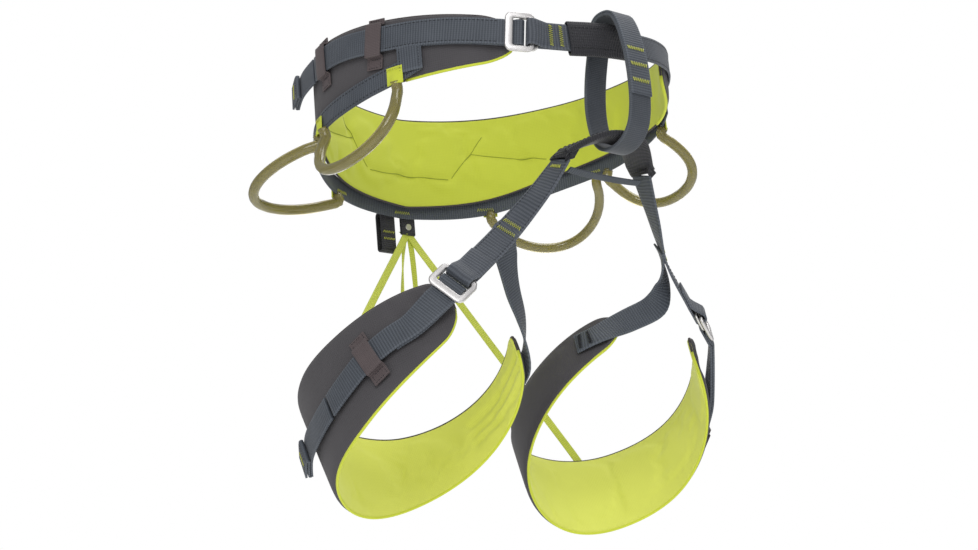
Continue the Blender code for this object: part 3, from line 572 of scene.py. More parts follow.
def webbing_material(name, colour, dark, rib, depth, wavy=0.0):
    """Webbing: ribs across its length, paler along its woven edges. Wavy adds a twill that wanders."""
    material, tree, shader = new_material(name, {
        "Roughness": 0.62, "Specular IOR Level": 0.4, "Sheen Weight": 0.12, "Sheen Roughness": 0.4,
    })
    lie = add_node(tree, "Attribute", {"attribute_name": "lie"}).outputs["Vector"]
    split = add_node(tree, "SeparateXYZ", None, {"Vector": lie})
    ribs = add_node(tree, "TexWave", {"bands_direction": "X"},
                    {"Vector": lie, "Scale": WAVE_SCALE / rib, "Distortion": wavy, "Detail": 1.0,
                     "Detail Scale": 0.35})
    cords = add_node(tree, "TexWave", {"bands_direction": "Y"},
                     {"Vector": lie, "Scale": WAVE_SCALE / CORD_SPACING})
    cloud = add_node(tree, "TexNoise", None, {"Vector": lie, "Scale": 55.0, "Detail": 5.0})
    grain = add_node(tree, "TexNoise", None, {"Vector": lie, "Scale": 1500.0})
    distance = add_node(tree, "Math", {"operation": "ABSOLUTE"}, {0: split.outputs["Y"]})
    selvedge = add_node(tree, "MapRange", None,
                        {"Value": distance.outputs[0], "From Min": STRAP_WIDTH / 2 - 0.0016,
                         "From Max": STRAP_WIDTH / 2 - 0.0006, "To Min": 0.0, "To Max": 0.30})
    weave = add_node(tree, "Math", MULTIPLY_ADD, {0: cords.outputs["Fac"], 1: 0.35, 2: ribs.outputs["Fac"]})
    patch = add_node(tree, "Math", MULTIPLY_ADD,
                     {0: weave.outputs[0], 1: 0.42, 2: selvedge.outputs["Result"]})
    mixed = add_node(tree, "Math", {**MULTIPLY_ADD, "use_clamp": True},
                     {0: cloud.outputs["Fac"], 1: 0.45, 2: patch.outputs[0]})
    height = add_node(tree, "Math", MULTIPLY_ADD, {0: grain.outputs["Fac"], 1: 0.6, 2: weave.outputs[0]})
    dress_shader(tree, shader, mixed.outputs[0], (dark, colour), (height.outputs[0], depth, 0.9))
    return material


# Polyamide webbing: slate blue-grey, with the slight gloss of its long straight threads
RIBBED_WEBBING = webbing_material("slate ribbed webbing", "#5c626b", "#2b3038", 0.0021, 0.00022)
TWILL_WEBBING = webbing_material("slate twill webbing", "#5c616a", "#2b3038", 0.0026, 0.00020, wavy=5.0)
BELAY_WEBBING = webbing_material("slate tubular webbing", "#555a62", "#2b3037", 0.0014, 0.00016)


class Spine:
    """A strap's centre line through chosen points, with the direction its outer face looks."""

    def __init__(self, places, normals):
        line = catmull_rom(np.hstack([places, normals]), 16)
        self.places = line[:, :3]
        self.normals = line[:, 3:]
        self.distance = distances(self.places)
        self.knots = self.distance[::16]
        self.length = self.distance[-1]

    def _read(self, table, at):
        return np.array([np.interp(at, self.distance, table[:, i]) for i in range(3)])

    def frame(self, at):
        """Place, direction along, direction across and outward normal."""
        low, high = max(at - 0.0015, 0), min(at + 0.0015, self.length)
        place = self._read(self.places, at)
        along = unit(self._read(self.places, high) - self._read(self.places, low))
        normal = self._read(self.normals, at)
        normal = unit(normal - along * np.dot(along, normal))
        return place, along, np.cross(along, normal), normal

    def lift(self, at, height, aside=0.0):
        place, _, across, normal = self.frame(at)
        return place + normal * height + across * aside


def cloth_strip(name, rows, thickness, material, closed=False, edge=0.0004, **links):
    """A woven strip through rows of places, each row running along it, with softly rounded edges."""
    rows = np.asarray(rows)
    count = len(rows)
    along = distances(rows[count // 2])
    middle = rows[(count - 1) // 2] / 2 + rows[count // 2] / 2
    lies = [[(way, np.linalg.norm(spot - centre) * (1 if row >= count / 2 else -1), 0)
             for spot, centre, way in zip(line, middle, along)] for row, line in enumerate(rows)]
    mesh, _ = grid_mesh(rows, lies)
    if closed:
        bmesh.ops.remove_doubles(mesh, verts=mesh.verts, dist=1e-6)
    piece = new_piece(name, mesh_data(mesh, name, material), **links)
    add_solidify(piece, thickness)
    add_bevel(piece, edge)
    return piece


def strap(name, spine, stations, width=STRAP_WIDTH, thickness=WEBBING, material=RIBBED_WEBBING, **links):
    """Webbing through (distance along the spine, height above it) stations."""
    lines = [[spine.lift(at, height, aside) for at, height in stations]
             for aside in np.linspace(-width / 2, width / 2, 5)]
    return cloth_strip(name, lines, thickness, material, **links)


def run(start, end, height, step=0.003):
    count = max(1, round(abs(end - start) / step))
    return [(at, height) for at in np.linspace(start, end, count + 1)]


def bow(centre, radius, start, end, count=6):
    """Stations round a bend, about a centre given as (distance, height), between angles in degrees."""
    turns = np.radians(np.linspace(start, end, count))
    return [(centre[0] + radius * math.cos(t), centre[1] + radius * math.sin(t)) for t in turns]


# Radii of thread, as thick as it has to be drawn to show: bar tacks, then seams from heavy to fine
BAR_THREAD, HEAVY_THREAD = 0.00032, 0.00028
COARSE_THREAD, STRAP_THREAD, FINE_THREAD = 0.00026, 0.00024, 0.00022
# Bonded polyester thread: a bar tack is a block of close zigzags
yellow_thread = cloth_material("yellow-green bonded thread", "#d3d65e", "#a9ad3c", 0.0006, 0.00008, 0.5, 0.1)
black_thread = cloth_material("black bonded thread", "#1d1f24", "#121317", 0.0006, 0.00008, 0.55, 0.1)


def zigzag(place_at, count, width, reach):
    """The thread of one bar tack: place_at(aside, step) gives a place on the cloth."""
    return [place_at(-width / 2 + width * i / count, reach * (1 if i % 2 else -1)) for i in range(count + 1)]


def bar_tack(spine, at, height, width=0.014, length=0.0026, pitch=0.00085):
    """A bar tack across a strap."""
    return zigzag(lambda aside, step: spine.lift(at + step, height + 0.0004, aside),
                  round(width / pitch), width, length / 2)


def running_stitch(place_at, length, pitch=0.0032):
    """Separate stitches along a line: place_at(distance, height) gives a place on the cloth."""
    shown = 0.68 * pitch
    return [[place_at(i * pitch + part * shown, 0.0001 if 0 < part < 1 else -0.0003)
             for part in (0, 0.25, 0.75, 1)] for i in range(int(length / pitch))]


LOWER_STATIONS = (58, 66, 76, 90, 120, 150, 180)
LOWER_EDGE = (-0.0215, -0.0275, -0.031, -0.035, -0.042, -0.057, -0.062)
LOWER_WIDTH = 0.016


def lower_edge(angle):
    return edge_height(LOWER_STATIONS, LOWER_EDGE, min(angle, 360 - angle))


lower_angles = np.linspace(58, 302, 164)
lower_rows = [[waist.at(a, lower_edge(a) + LOWER_WIDTH * share, SPINE_OUT) for a in lower_angles]
              for share in np.linspace(0, 1, 5)]
lower_webbing = cloth_strip("waist_lower_webbing_band", lower_rows, WEBBING, RIBBED_WEBBING, body="belt",
                            replaces=("waist_lower_webbing",), slot="webbing")
belt_seams = []
for share in (0.14, 0.86):
    def on_lower(distance, height, share=share):
        angle = 58.5 + distance / 0.00232
        return waist.at(angle, lower_edge(angle) + LOWER_WIDTH * share, SPINE_OUT + WEBBING / 2 + height)
    belt_seams += running_stitch(on_lower, 0.560)
sew_lines("lower_webbing_seams", belt_seams, black_thread, lower_webbing, COARSE_THREAD)

inside_tacks = []
for middle in (105, 149, 181, 211, 255):
    low = lower_edge(middle) + 0.0050
    inside_tacks.append(zigzag(
        lambda turn, step: waist.at(middle + turn, low + step, SPINE_OUT - WEBBING / 2 - 0.0002),
        14, 5.88, 0.0012))
sew_lines("lower_webbing_tacks", inside_tacks, yellow_thread, lower_webbing, HEAVY_THREAD)

# The waist strap's line, from its loose end on the right hip round the front to the left hip
WAIST_STRAP_LINE = (
    (-124, 0.010, 0.010), (-115, 0.014, 0.005), (-104, 0.016, 0), (-93, 0.017, 0), (-83, 0.0155, 0),
    (-72, 0.011, 0), (-60, 0.007, 0), (-50, 0.003, 0.0005), (-42, -0.001, 0.001), (-35.5, -0.004, 0.001),
    (-22.0, -0.009, 0.001), (-15, -0.0095, 0), (-6, -0.0085, 0), (4, -0.007, 0), (14, -0.005, 0),
    (25, -0.001, 0), (38, 0.004, 0), (50, 0.006, 0), (62, 0.008, 0),
)
places = [waist.at(a, h, SPINE_OUT + out) for a, h, out in WAIST_STRAP_LINE]
normals = [waist.normal(a) for a, _, _ in WAIST_STRAP_LINE]
start, end = places[9], places[10]
forward = unit(end - start)
facing = unit(normals[9] + normals[10])
places[9:11] = [start, start + forward * 0.006, end - forward * 0.006, end]
normals[9:11] = [facing] * 4
waist_spine = Spine(places, normals)
waist_buckle_at = waist_spine.knots[10] - 0.002
waist_tail_at = waist_spine.knots[2]

# Buckle sizes along the strap, from the frame's front edge
FRAME_LENGTH, FRAME_WIDTH, FRAME_THICKNESS = 0.022, 0.031, 0.0026
FRAME_FRONT_BAR, FRAME_REAR_BAR, BUCKLE_WINDOW = 0.006, 0.0035, 0.022
SLIDER_START, SLIDER_LENGTH, SLIDER_WIDTH, SLIDER_THICKNESS, SLIDER_BAR = 0.0095, 0.016, 0.027, 0.0016, 0.0035
SLIDER_HEIGHT = WEBBING / 2 + CLEARANCE
WRAP_HEIGHT = SLIDER_HEIGHT + SLIDER_THICKNESS + CLEARANCE + WEBBING / 2
FRAME_HEIGHT = WEBBING * 1.5 + 2 * CLEARANCE
FRAME_OPENS = math.radians(25)      # the sewn loop leaves the frame room to tilt by this much
LOOP_HEIGHT = (FRAME_HEIGHT + FRAME_REAR_BAR * math.sin(FRAME_OPENS)
               + FRAME_THICKNESS * math.cos(FRAME_OPENS) + CLEARANCE + WEBBING / 2)


def adjuster_stations(buckle_at, anchor, tail_end):
    """From the sewn end to the buckle, round the slider's front bar and back as the tail."""
    bar, front = buckle_at + SLIDER_START, buckle_at + FRAME_FRONT_BAR
    turn = bar + SLIDER_BAR + CLEARANCE + WEBBING / 2
    bend = WRAP_HEIGHT / 2
    stations = run(anchor, turn - bend, 0)
    stations += bow((turn - bend, bend), bend, -70, 90, 8)
    stations += [(bar + 0.001, WRAP_HEIGHT), (bar - 0.0005, WRAP_HEIGHT - 0.0003)]
    stations += [(front + 0.0018, STACK + 0.0007), (front, STACK + 0.0001)]
    return stations + run(front - 0.002, tail_end, STACK)


def fixed_stations(buckle_at, end):
    """From the far end to the buckle, round both bars and back over itself, to be sewn down."""
    bar = buckle_at + FRAME_LENGTH - FRAME_REAR_BAR
    slider_end = buckle_at + SLIDER_START + SLIDER_LENGTH
    turn = bar - CLEARANCE - WEBBING
    stations = run(end, slider_end, 0)
    stations += bow((turn + 0.002, 0.002), 0.002, -90, -180, 5)
    stations += [(turn, LOOP_HEIGHT / 2)]
    stations += bow((turn + 0.0022, LOOP_HEIGHT - 0.0022), 0.0022, 180, 90, 5)
    stations += [(bar + FRAME_REAR_BAR * 0.8, LOOP_HEIGHT - 0.0002),
                 (slider_end - 0.001, LOOP_HEIGHT - 0.0022),
                 (slider_end + 0.0025, STACK + 0.0016), (slider_end + 0.006, STACK + 0.0001)]
    return stations + run(slider_end + 0.008, slider_end + 0.022, STACK)


TAIL_OVERLAP = 0.0022       # how far the loose end's own piece begins before the strap's ends
strap("waist_adjuster_webbing", waist_spine,
      adjuster_stations(waist_buckle_at, waist_spine.knots[6], waist_tail_at + TAIL_OVERLAP),
      body="belt", replaces=("waist_adjuster_strap",), slot="webbing")
front_strap = strap("waist_front_webbing", waist_spine, fixed_stations(waist_buckle_at, waist_spine.length),
                    material=TWILL_WEBBING, body="belt", replaces=("waist_front_strap",), slot="webbing")

TOP = STACK + WEBBING / 2
tacks_at = waist_buckle_at + SLIDER_START + SLIDER_LENGTH
sew_lines("waist_bar_tacks", [bar_tack(waist_spine, tacks_at + on, TOP, 0.016) for on in (0.0085, 0.0165)],
          yellow_thread, front_strap, BAR_THREAD)
SEAM_ASIDE = 0.0082         # from the middle of a strap to the seam along its edge


def seam_on(spine, start, end, height, aside, **settings):
    """Stitches along a strap."""
    return running_stitch(lambda d, h: spine.lift(start + d, height + h, aside), end - start, **settings)


strap_seams = []
for aside in (-SEAM_ASIDE, SEAM_ASIDE):
    strap_seams += seam_on(waist_spine, waist_spine.knots[5] + 0.010, waist_buckle_at - 0.004, TOP, aside)
    strap_seams += seam_on(waist_spine, tacks_at + 0.094, waist_spine.length - 0.002, WEBBING / 2, aside)
sew_lines("waist_strap_seams", strap_seams, black_thread, front_strap, STRAP_THREAD)

# A patch of the same webbing joins the right end of the lower band to the waist strap
patch_rows = [[waist.at(-a, height, SPINE_OUT + STACK) for a in np.linspace(65, 57.5, 8)]
              for height in np.linspace(-0.0215, -0.0005, 6)]
patch = cloth_strip("waist_webbing_patch", patch_rows, WEBBING, RIBBED_WEBBING, parent=lower_webbing)
patch_seams = []
for a in (64.2, 58.3):
    patch_seams += running_stitch(
        lambda d, h, a=a: waist.at(-a, -0.0205 + d, SPINE_OUT + STACK + WEBBING / 2 + h), 0.019, pitch=0.0024)
sew_lines("waist_patch_seams", patch_seams, black_thread, patch, FINE_THREAD)

# The buckles. A slide-block buckle is two forged aluminium plates, each with one window: the wide
# frame lifts to let the strap slip, the narrow slider behind it grips. Both are tumbled to a satin.

# A soft shine, broken by the fine pits of tumbling and by faint smears
forged, tree, shader = new_material("satin tumbled aluminium", {"Metallic": 1.0, "Roughness": 0.40})
place = add_node(tree, "TexCoord").outputs["Object"]
speckle = add_node(tree, "TexNoise", None, {"Vector": place, "Scale": 2200.0, "Detail": 3.0})
smear = add_node(tree, "TexNoise", None, {"Vector": place, "Scale": 160.0, "Detail": 4.0})
dress_shader(tree, shader, smear.outputs["Fac"], ("#c6c2c4", "#e9e8e6"),
             (speckle.outputs["Fac"], 0.00004, 0.5))
SHARP = math.radians(40)    # metal edges that turn more than this are drawn sharp


def outline(curve, low_x, high_x, width, radius, arc):
    """Adds a rounded rectangle to a flat curve."""
    corners = [(high_x - radius, width / 2 - radius, 0), (low_x + radius, width / 2 - radius, 90),
               (low_x + radius, radius - width / 2, 180), (high_x - radius, radius - width / 2, 270)]
    points = []
    for x, y, turn in corners:
        for share in np.linspace(0, 90, arc + 1):
            t = math.radians(turn + share)
            points.append((x + radius * math.cos(t), y + radius * math.sin(t), 0, 1))
    spline = curve.splines.new("POLY")
    spline.points.add(len(points) - 1)
    for point, spot in zip(spline.points, points):
        point.co = spot
    spline.use_cyclic_u = True


def forge_plate(name, spine, buckle_at, size, bars, start, height, body, replaces):
    """One buckle plate, with the round edges of a forging."""
    length, width, thickness = size
    round_edge = thickness * 0.42
    curve = bpy.data.curves.new(name, "CURVE")
    curve.dimensions = "2D"
    curve.fill_mode = "BOTH"
    curve.extrude = thickness / 2 - round_edge
    curve.bevel_depth = round_edge
    curve.bevel_resolution = 3
    curve.offset = -round_edge
    outline(curve, 0, length, width, 0.0052, 8)
    outline(curve, bars[0], length - bars[1], BUCKLE_WINDOW, 0.0016, 4)
    place, along, across, normal = spine.frame(buckle_at + FRAME_LENGTH / 2)
    place = place + along * (start - FRAME_LENGTH / 2) + normal * (height + thickness / 2)
    turn = Matrix([[*along, 0], [*across, 0], [*normal, 0], [0, 0, 0, 1]]).transposed()
    turn.translation = place
    mesh = curve_mesh(curve)
    bmesh.ops.transform(mesh, matrix=turn, verts=mesh.verts)
    bmesh.ops.recalc_face_normals(mesh, faces=mesh.faces)
    data = mesh_data(mesh, name, forged)
    data.set_sharp_from_angle(angle=SHARP)
    new_piece(name, data, body=body, replaces=replaces, slot="alloy")


def fit_buckle(name, spine, at, slider_body, frame_body):
    forge_plate(f"{name}_slider_plate", spine, at, (SLIDER_LENGTH, SLIDER_WIDTH, SLIDER_THICKNESS),
                (SLIDER_BAR, SLIDER_BAR), SLIDER_START, SLIDER_HEIGHT, slider_body, (f"{name}_slider",))
    forge_plate(f"{name}_frame_plate", spine, at, (FRAME_LENGTH, FRAME_WIDTH, FRAME_THICKNESS),
                (FRAME_FRONT_BAR, FRAME_REAR_BAR), 0, FRAME_HEIGHT, frame_body, (f"{name}_frame",))


fit_buckle("waist_buckle", waist_spine, waist_buckle_at, "belt", "waist_buckle_frame")

# The keepers and the strap's loose end. Each keeper is a tape sewn down on both sides of the strap.
# The loose end is folded twice and sewn, so that it can't slip back through the buckle.

KEEPER_WIDTH = 0.014
KEEPER_THICKNESS = 0.0010
KEEPER_FLANGE = 0.010
KEEPER_SIDE = STRAP_WIDTH / 2 + CLEARANCE * 4 + KEEPER_THICKNESS
STOP_LENGTH = 0.021
KEEPER_TAPE = webbing_material("umber keeper tape", "#655b5c", "#43393b", 0.0012, 0.00012)


def sew_keeper(name, spine, at, body, replaces, flanges=(KEEPER_FLANGE, KEEPER_FLANGE)):
    """A tape over the strap's two layers, sewn down at each end. The flanges are its two ends' lengths."""
    top = 1.5 * WEBBING + 2 * CLEARANCE + KEEPER_THICKNESS / 2 + CLEARANCE
    base = -0.0002
    half = [(KEEPER_SIDE + 0.002, base), (KEEPER_SIDE + 0.0004, base + 0.0005),
            (KEEPER_SIDE - 0.0002, top - 0.0012), (KEEPER_SIDE - 0.0016, top)]
    section = [(-KEEPER_SIDE - flanges[0], base), *((-w, n) for w, n in half), *half[::-1],
               (KEEPER_SIDE + flanges[1], base)]
    line = catmull_rom(section, 4)
    place, along, across, normal = spine.frame(at)
    rows = [[place + across * w + normal * n + along * end for w, n in line]
            for end in np.linspace(-KEEPER_WIDTH / 2, KEEPER_WIDTH / 2, 5)]
    piece = cloth_strip(name, rows, KEEPER_THICKNESS, KEEPER_TAPE, edge=0.0003, body=body,
                        replaces=replaces, slot="keeper_tape")
    seams = []
    inset = KEEPER_WIDTH / 2 - 0.0016
    for side, flange in zip((-1, 1), flanges):
        outer, inner = side * (KEEPER_SIDE + flange - 0.0014), side * (KEEPER_SIDE + 0.0024)
        corners = [(outer, -inset), (outer, inset), (inner, inset), (inner, -inset), (outer, -inset)]
        for (w0, a0), (w1, a1) in zip(corners, corners[1:]):
            length = math.hypot(w1 - w0, a1 - a0)
            seams += running_stitch(
                lambda d, h: place + across * (w0 + (w1 - w0) * d / length)
                + along * (a0 + (a1 - a0) * d / length)
                + normal * (base + KEEPER_THICKNESS / 2 + h), length, pitch=0.0022)
    sew_lines(f"{name}_stitches", seams, black_thread, piece, FINE_THREAD)


# The upper ends are cut short, to stay on the pad
WAIST_FLANGES = (0.0050, KEEPER_FLANGE)
sew_keeper("waist_keeper_front_tape", waist_spine, waist_spine.knots[5], "belt",
           ("waist_keeper_front",), WAIST_FLANGES)
sew_keeper("waist_keeper_side_tape", waist_spine, waist_spine.knots[3] - 0.006, "belt",
           ("waist_keeper_side",), WAIST_FLANGES)


def sew_tail(name, spine, hinge_at, body, node):
    """The strap's end past its last keeper, folded over itself, with a bar of stitches on the fold."""
    thin = WEBBING * 0.97
    low = STACK
    stations = run(hinge_at, 0.0025, low)
    stations += bow((0.0025, low + 0.0010), 0.0010, 270, 90, 6)
    stations += run(0.004, STOP_LENGTH - 0.003, low + 0.0020)
    stations += bow((STOP_LENGTH - 0.0028, low + 0.0030), 0.0010, -90, 90, 6)
    stations += run(STOP_LENGTH - 0.005, 0.0012, low + 0.0041)
    piece = strap(name, spine, stations, thickness=thin, body=body, replaces=(node, f"{node}_stop"),
                  slot="webbing")
    top = low + 0.0041 + thin / 2
    tack = bar_tack(spine, STOP_LENGTH * 0.55, top, 0.013, 0.0012, 0.0011)
    sew_lines(f"{name}_tack", [tack], yellow_thread, piece, BAR_THREAD)
    box = []
    for at in (0.003, STOP_LENGTH - 0.004):
        box += running_stitch(lambda d, h: spine.lift(at, top + h, -0.008 + d), 0.016, pitch=0.0024)
    for aside in (-SEAM_ASIDE, SEAM_ASIDE):
        box += seam_on(spine, 0.003, STOP_LENGTH - 0.004, top, aside, pitch=0.0024)
    sew_lines(f"{name}_seams", box, black_thread, piece, FINE_THREAD)


sew_tail("waist_tail_webbing", waist_spine, waist_tail_at, "waist_strap_tail", "waist_tail_end")

# The tie-in sleeve. A coarse black tube woven over the strap where the rope and the belay loop rub.

SLEEVE_WEAVE = webbing_material("black abrasion sleeve", "#34343a", "#1a1a1e", 0.0017, 0.00040, wavy=1.5)
SLEEVE_WALL = 0.0010


def weave_sleeve(name, spine, start, end, size, node):
    """A flat tube, open at its ends, with the soft edges of woven cloth."""
    half, thin = size[0] / 2, size[1] / 2
    section = []
    for turn in np.linspace(0, 360, 25):
        t = math.radians(turn)
        squash = abs(math.sin(t)) ** 0.55 * math.copysign(1, math.sin(t))
        section.append((half * abs(math.cos(t)) ** 0.8 * math.copysign(1, math.cos(t)), thin * squash))
    stations = run(start, end, 0)
    rows = [[spine.lift(at, n, w) for at, _ in stations] for w, n in section]
    mesh, _ = grid_mesh(rows, [[(at, w * 0.72, 0) for at, _ in stations] for w, _ in section])
    bmesh.ops.remove_doubles(mesh, verts=mesh.verts, dist=1e-6)
    bmesh.ops.recalc_face_normals(mesh, faces=mesh.faces)
    piece = new_piece(name, mesh_data(mesh, name, SLEEVE_WEAVE), body="belt", replaces=(node,), slot="sleeve")
    add_solidify(piece, SLEEVE_WALL)
    add_bevel(piece, 0.0003)
    seams = []
    top = thin + SLEEVE_WALL / 2 - 0.0001
    for aside in (-half * 0.62, half * 0.62):
        seams += seam_on(spine, start + 0.002, end - 0.002, top, aside)
    for at in (start + 0.0022, end - 0.0022):
        seams += running_stitch(lambda d, h: spine.lift(at, top + h, -half * 0.6 + d), half * 1.2)
    sew_lines(f"{name}_seams", seams, black_thread, piece, COARSE_THREAD)


sleeve_start = waist_buckle_at + 0.049
weave_sleeve("waist_tie_in_sleeve", waist_spine, sleeve_start, sleeve_start + 0.072, (0.026, 0.0056),
             "tie_in_sleeve")

# The belay loop. Two layers of 20 mm webbing sewn into a ring, lapped down its front and closed
# with three bar tacks. It passes round the belt's sleeve and under the leg loops' webbing.

BELAY_LINE = (
    (-0.1560, 0.0112), (-0.1650, 0.0065), (-0.1710, -0.008), (-0.1750, -0.030), (-0.1760, -0.052),
    (-0.1745, -0.069), (-0.1700, -0.082), (-0.1610, -0.0905), (-0.1500, -0.0935), (-0.1390, -0.0915),
    (-0.1315, -0.0835), (-0.1275, -0.070), (-0.1265, -0.052), (-0.1300, -0.030), (-0.1375, -0.006),
    (-0.1450, 0.0090),
)
BELAY_WIDTH = 0.020
# The line is run round three times, and the middle round kept, so that it closes smoothly
PER_SPAN = 7
ring = catmull_rom(BELAY_LINE * 3, PER_SPAN)[len(BELAY_LINE) * PER_SPAN:2 * len(BELAY_LINE) * PER_SPAN + 1]
along = np.roll(ring[:-1], -1, axis=0) - np.roll(ring[:-1], 1, axis=0)
out = np.column_stack([along[:, 1], -along[:, 0]])
out /= np.linalg.norm(out, axis=1, keepdims=True)
centre = ring[:-1].mean(axis=0)
if np.mean(np.sum((ring[:-1] - centre) * out, axis=1)) < 0:
    out = -out
out = np.vstack([out, out[:1]])


def belay_rows(line, lift):
    """Rows of a layer of the ring, lifted outwards from its middle line."""
    return [[(x, *(ring[i] + out[i] * lift)) for i in line]
            for x in np.linspace(-BELAY_WIDTH / 2, BELAY_WIDTH / 2, 5)]


belay_piece = cloth_strip("belay_loop_webbing", belay_rows(range(len(ring)), -0.0007), 0.0025,
                          BELAY_WEBBING, closed=True, edge=0.0006, body="belay_loop",
                          replaces=("belay_loop",), slot="webbing")
lap = [i % (len(ring) - 1) for i in range(-13, 32)]
cloth_strip("belay_loop_lap", belay_rows(lap, 0.0014), 0.0015, RIBBED_WEBBING, parent=belay_piece)
belay_tacks = []
for middle in (19, 23, 27):
    spot = ring[middle] + out[middle] * 0.0024
    way = unit(ring[middle + 1] - ring[middle - 1])
    belay_tacks.append(zigzag(lambda x, step: (x, *(spot + way * step)), 18, 0.0156, 0.0013))
sew_lines("belay_loop_bar_tacks", belay_tacks, yellow_thread, belay_piece, BAR_THREAD)

# The leg loops' tie-in: webbing that runs through the belay loop inside a black sleeve, and a thin
# strap that keeps the two risers from spreading.

BRIDGE_HALF = (
    ((0, -150.5, -84.5), (0, 0, 1)), ((16, -146, -85), (-0.28, 0, 0.96)), ((36, -130, -93), (-0.64, 0, 0.75)),
)
bridge_places = []
bridge_normals = []
for side in (-1, 1):
    ends = BRIDGE_HALF[::-1] if side < 0 else BRIDGE_HALF[1:]
    for (x, y, z), (nx, ny, nz) in ends:
        bridge_places.append((side * x * MM, y * MM, z * MM))
        bridge_normals.append((-side * nx, ny, nz))
bridge_places = [(-0.0395, -0.1278, -0.0992), *bridge_places, (0.0395, -0.1278, -0.0992)]
bridge_normals = [(-0.66, -0.24, 0.70), *bridge_normals, (0.66, -0.24, 0.70)]
bridge_spine = Spine(bridge_places, bridge_normals)
strap("leg_bridge_webbing", bridge_spine, run(0.0050, bridge_spine.length - 0.0050, 0), 0.018, body="belt",
      replaces=("leg_bridge_strap",), slot="webbing")
weave_sleeve("leg_bridge_tie_in_sleeve", bridge_spine, 0, bridge_spine.length, (0.022, 0.0044),
             "leg_bridge_sleeve")
CROSS_HALF, CROSS_WIDTH, CROSS_SAG = 0.035, 0.0055, 0.0012
cross_xs = np.linspace(-CROSS_HALF, CROSS_HALF, 30)
cross_rows = []
for aside in np.linspace(-CROSS_WIDTH / 2, CROSS_WIDTH / 2, 5):
    y, z = -0.129 - 0.92 * aside, -0.107 + 0.39 * aside
    cross_rows.append([(x, y, z - CROSS_SAG * (1 - (x / CROSS_HALF) ** 2)) for x in cross_xs])
cloth_strip("leg_cross_webbing", cross_rows, 0.0013, RIBBED_WEBBING, edge=0.0003, body="belt",
            replaces=("leg_cross_strap",), slot="webbing")

# The leg loops. Each is a padded band with a rounded outer end under its buckle. A riser joins it to
# the tie-in, and an inner strap forks from the riser to the pad's inner end.

LEG_STATIONS = (0, 45, 90, 135, 180, 225, 270, 315, 360)
LEG_TOP = (0.039, 0.037, 0.036, 0.043, 0.043, 0.026, 0.020, 0.027, 0.039)
LEG_BOTTOM = (0.025, -0.018, -0.040, -0.043, -0.045, -0.037, -0.027, -0.008, 0.025)
LEG_HALF_WIDTH, LEG_HALF_DEPTH, LEG_FLARE = 0.071, 0.0885, 0.7
PAD_OUTER = 27.0
PAD_INNER = {"right": 321.0, "left": 327.0}
INNER_STRAP_ON_PAD = (315, 303)
LEG_POSES = {
    "right": (-1, (-0.107, -0.025, -0.2605), 27.5, -3.0, -10.5),
    "left": (1, (0.081, -0.021, -0.2615), 32.5, 18.0, -9.5),
}
LEG_STRAP_ON_PAD = (
    (153, -0.007, 0.006), (138, -0.006, 0.002), (122, -0.009, 0), (106, -0.010, 0), (90, -0.007, 0),
    (76, -0.002, 0), (63, 0.001, 0.0005), (51, 0.004, 0.0008),
)
LEG_STRAP_TO_TIE_IN = {
    "right": (
        ((-137, -92, -208), (-0.52, -0.80, 0.22)), ((-107, -98, -181), (-0.52, -0.80, 0.22)),
        ((-79, -101, -155), (-0.59, -0.70, 0.26)), ((-57, -117, -126), (-0.64, -0.50, 0.55)),
        ((-39.5, -127.5, -99.5), (-0.66, -0.24, 0.70)),
    ),
    "left": (
        ((130, -91, -213.5), (0.62, -0.75, 0.18)), ((103, -97, -183), (0.62, -0.75, 0.18)),
        ((79, -103, -155), (0.60, -0.70, 0.26)), ((57, -117, -126), (0.64, -0.50, 0.55)),
        ((39.5, -127.5, -99.5), (0.66, -0.24, 0.70)),
    ),
}
LEG_INNER_STRAP = {
    "right": (((-77.4, -99.3, -153.6), (-0.55, -0.72, 0.28)), ((-69, -91, -168), (-0.2, -0.93, 0.1)),
              ((-56, -79, -187), (0.25, -0.95, 0.0)), ((-46, -74, -208), (0.55, -0.83, 0.0))),
    "left": (((77.4, -101.3, -153.8), (0.55, -0.72, 0.28)), ((84.5, -92, -170), (0.2, -0.95, 0.1)),
             ((80, -86, -186), (-0.1, -0.95, 0.25)), ((60, -76, -197), (-0.4, -0.85, 0.3))),
}


def leg_axes(side, lean, outward, turn):
    """Across, back and up directions of a leg's oval."""
    lean, outward, turn = (math.radians(angle) for angle in (lean, outward, turn * side))
    up = np.array([side * math.sin(outward), math.sin(lean) * math.cos(outward),
                   math.cos(lean) * math.cos(outward)])
    across = unit(np.cross([0, 1, 0], up))
    back = np.cross(up, across)
    return (across * math.cos(turn) + back * math.sin(turn),
            back * math.cos(turn) - across * math.sin(turn), up)


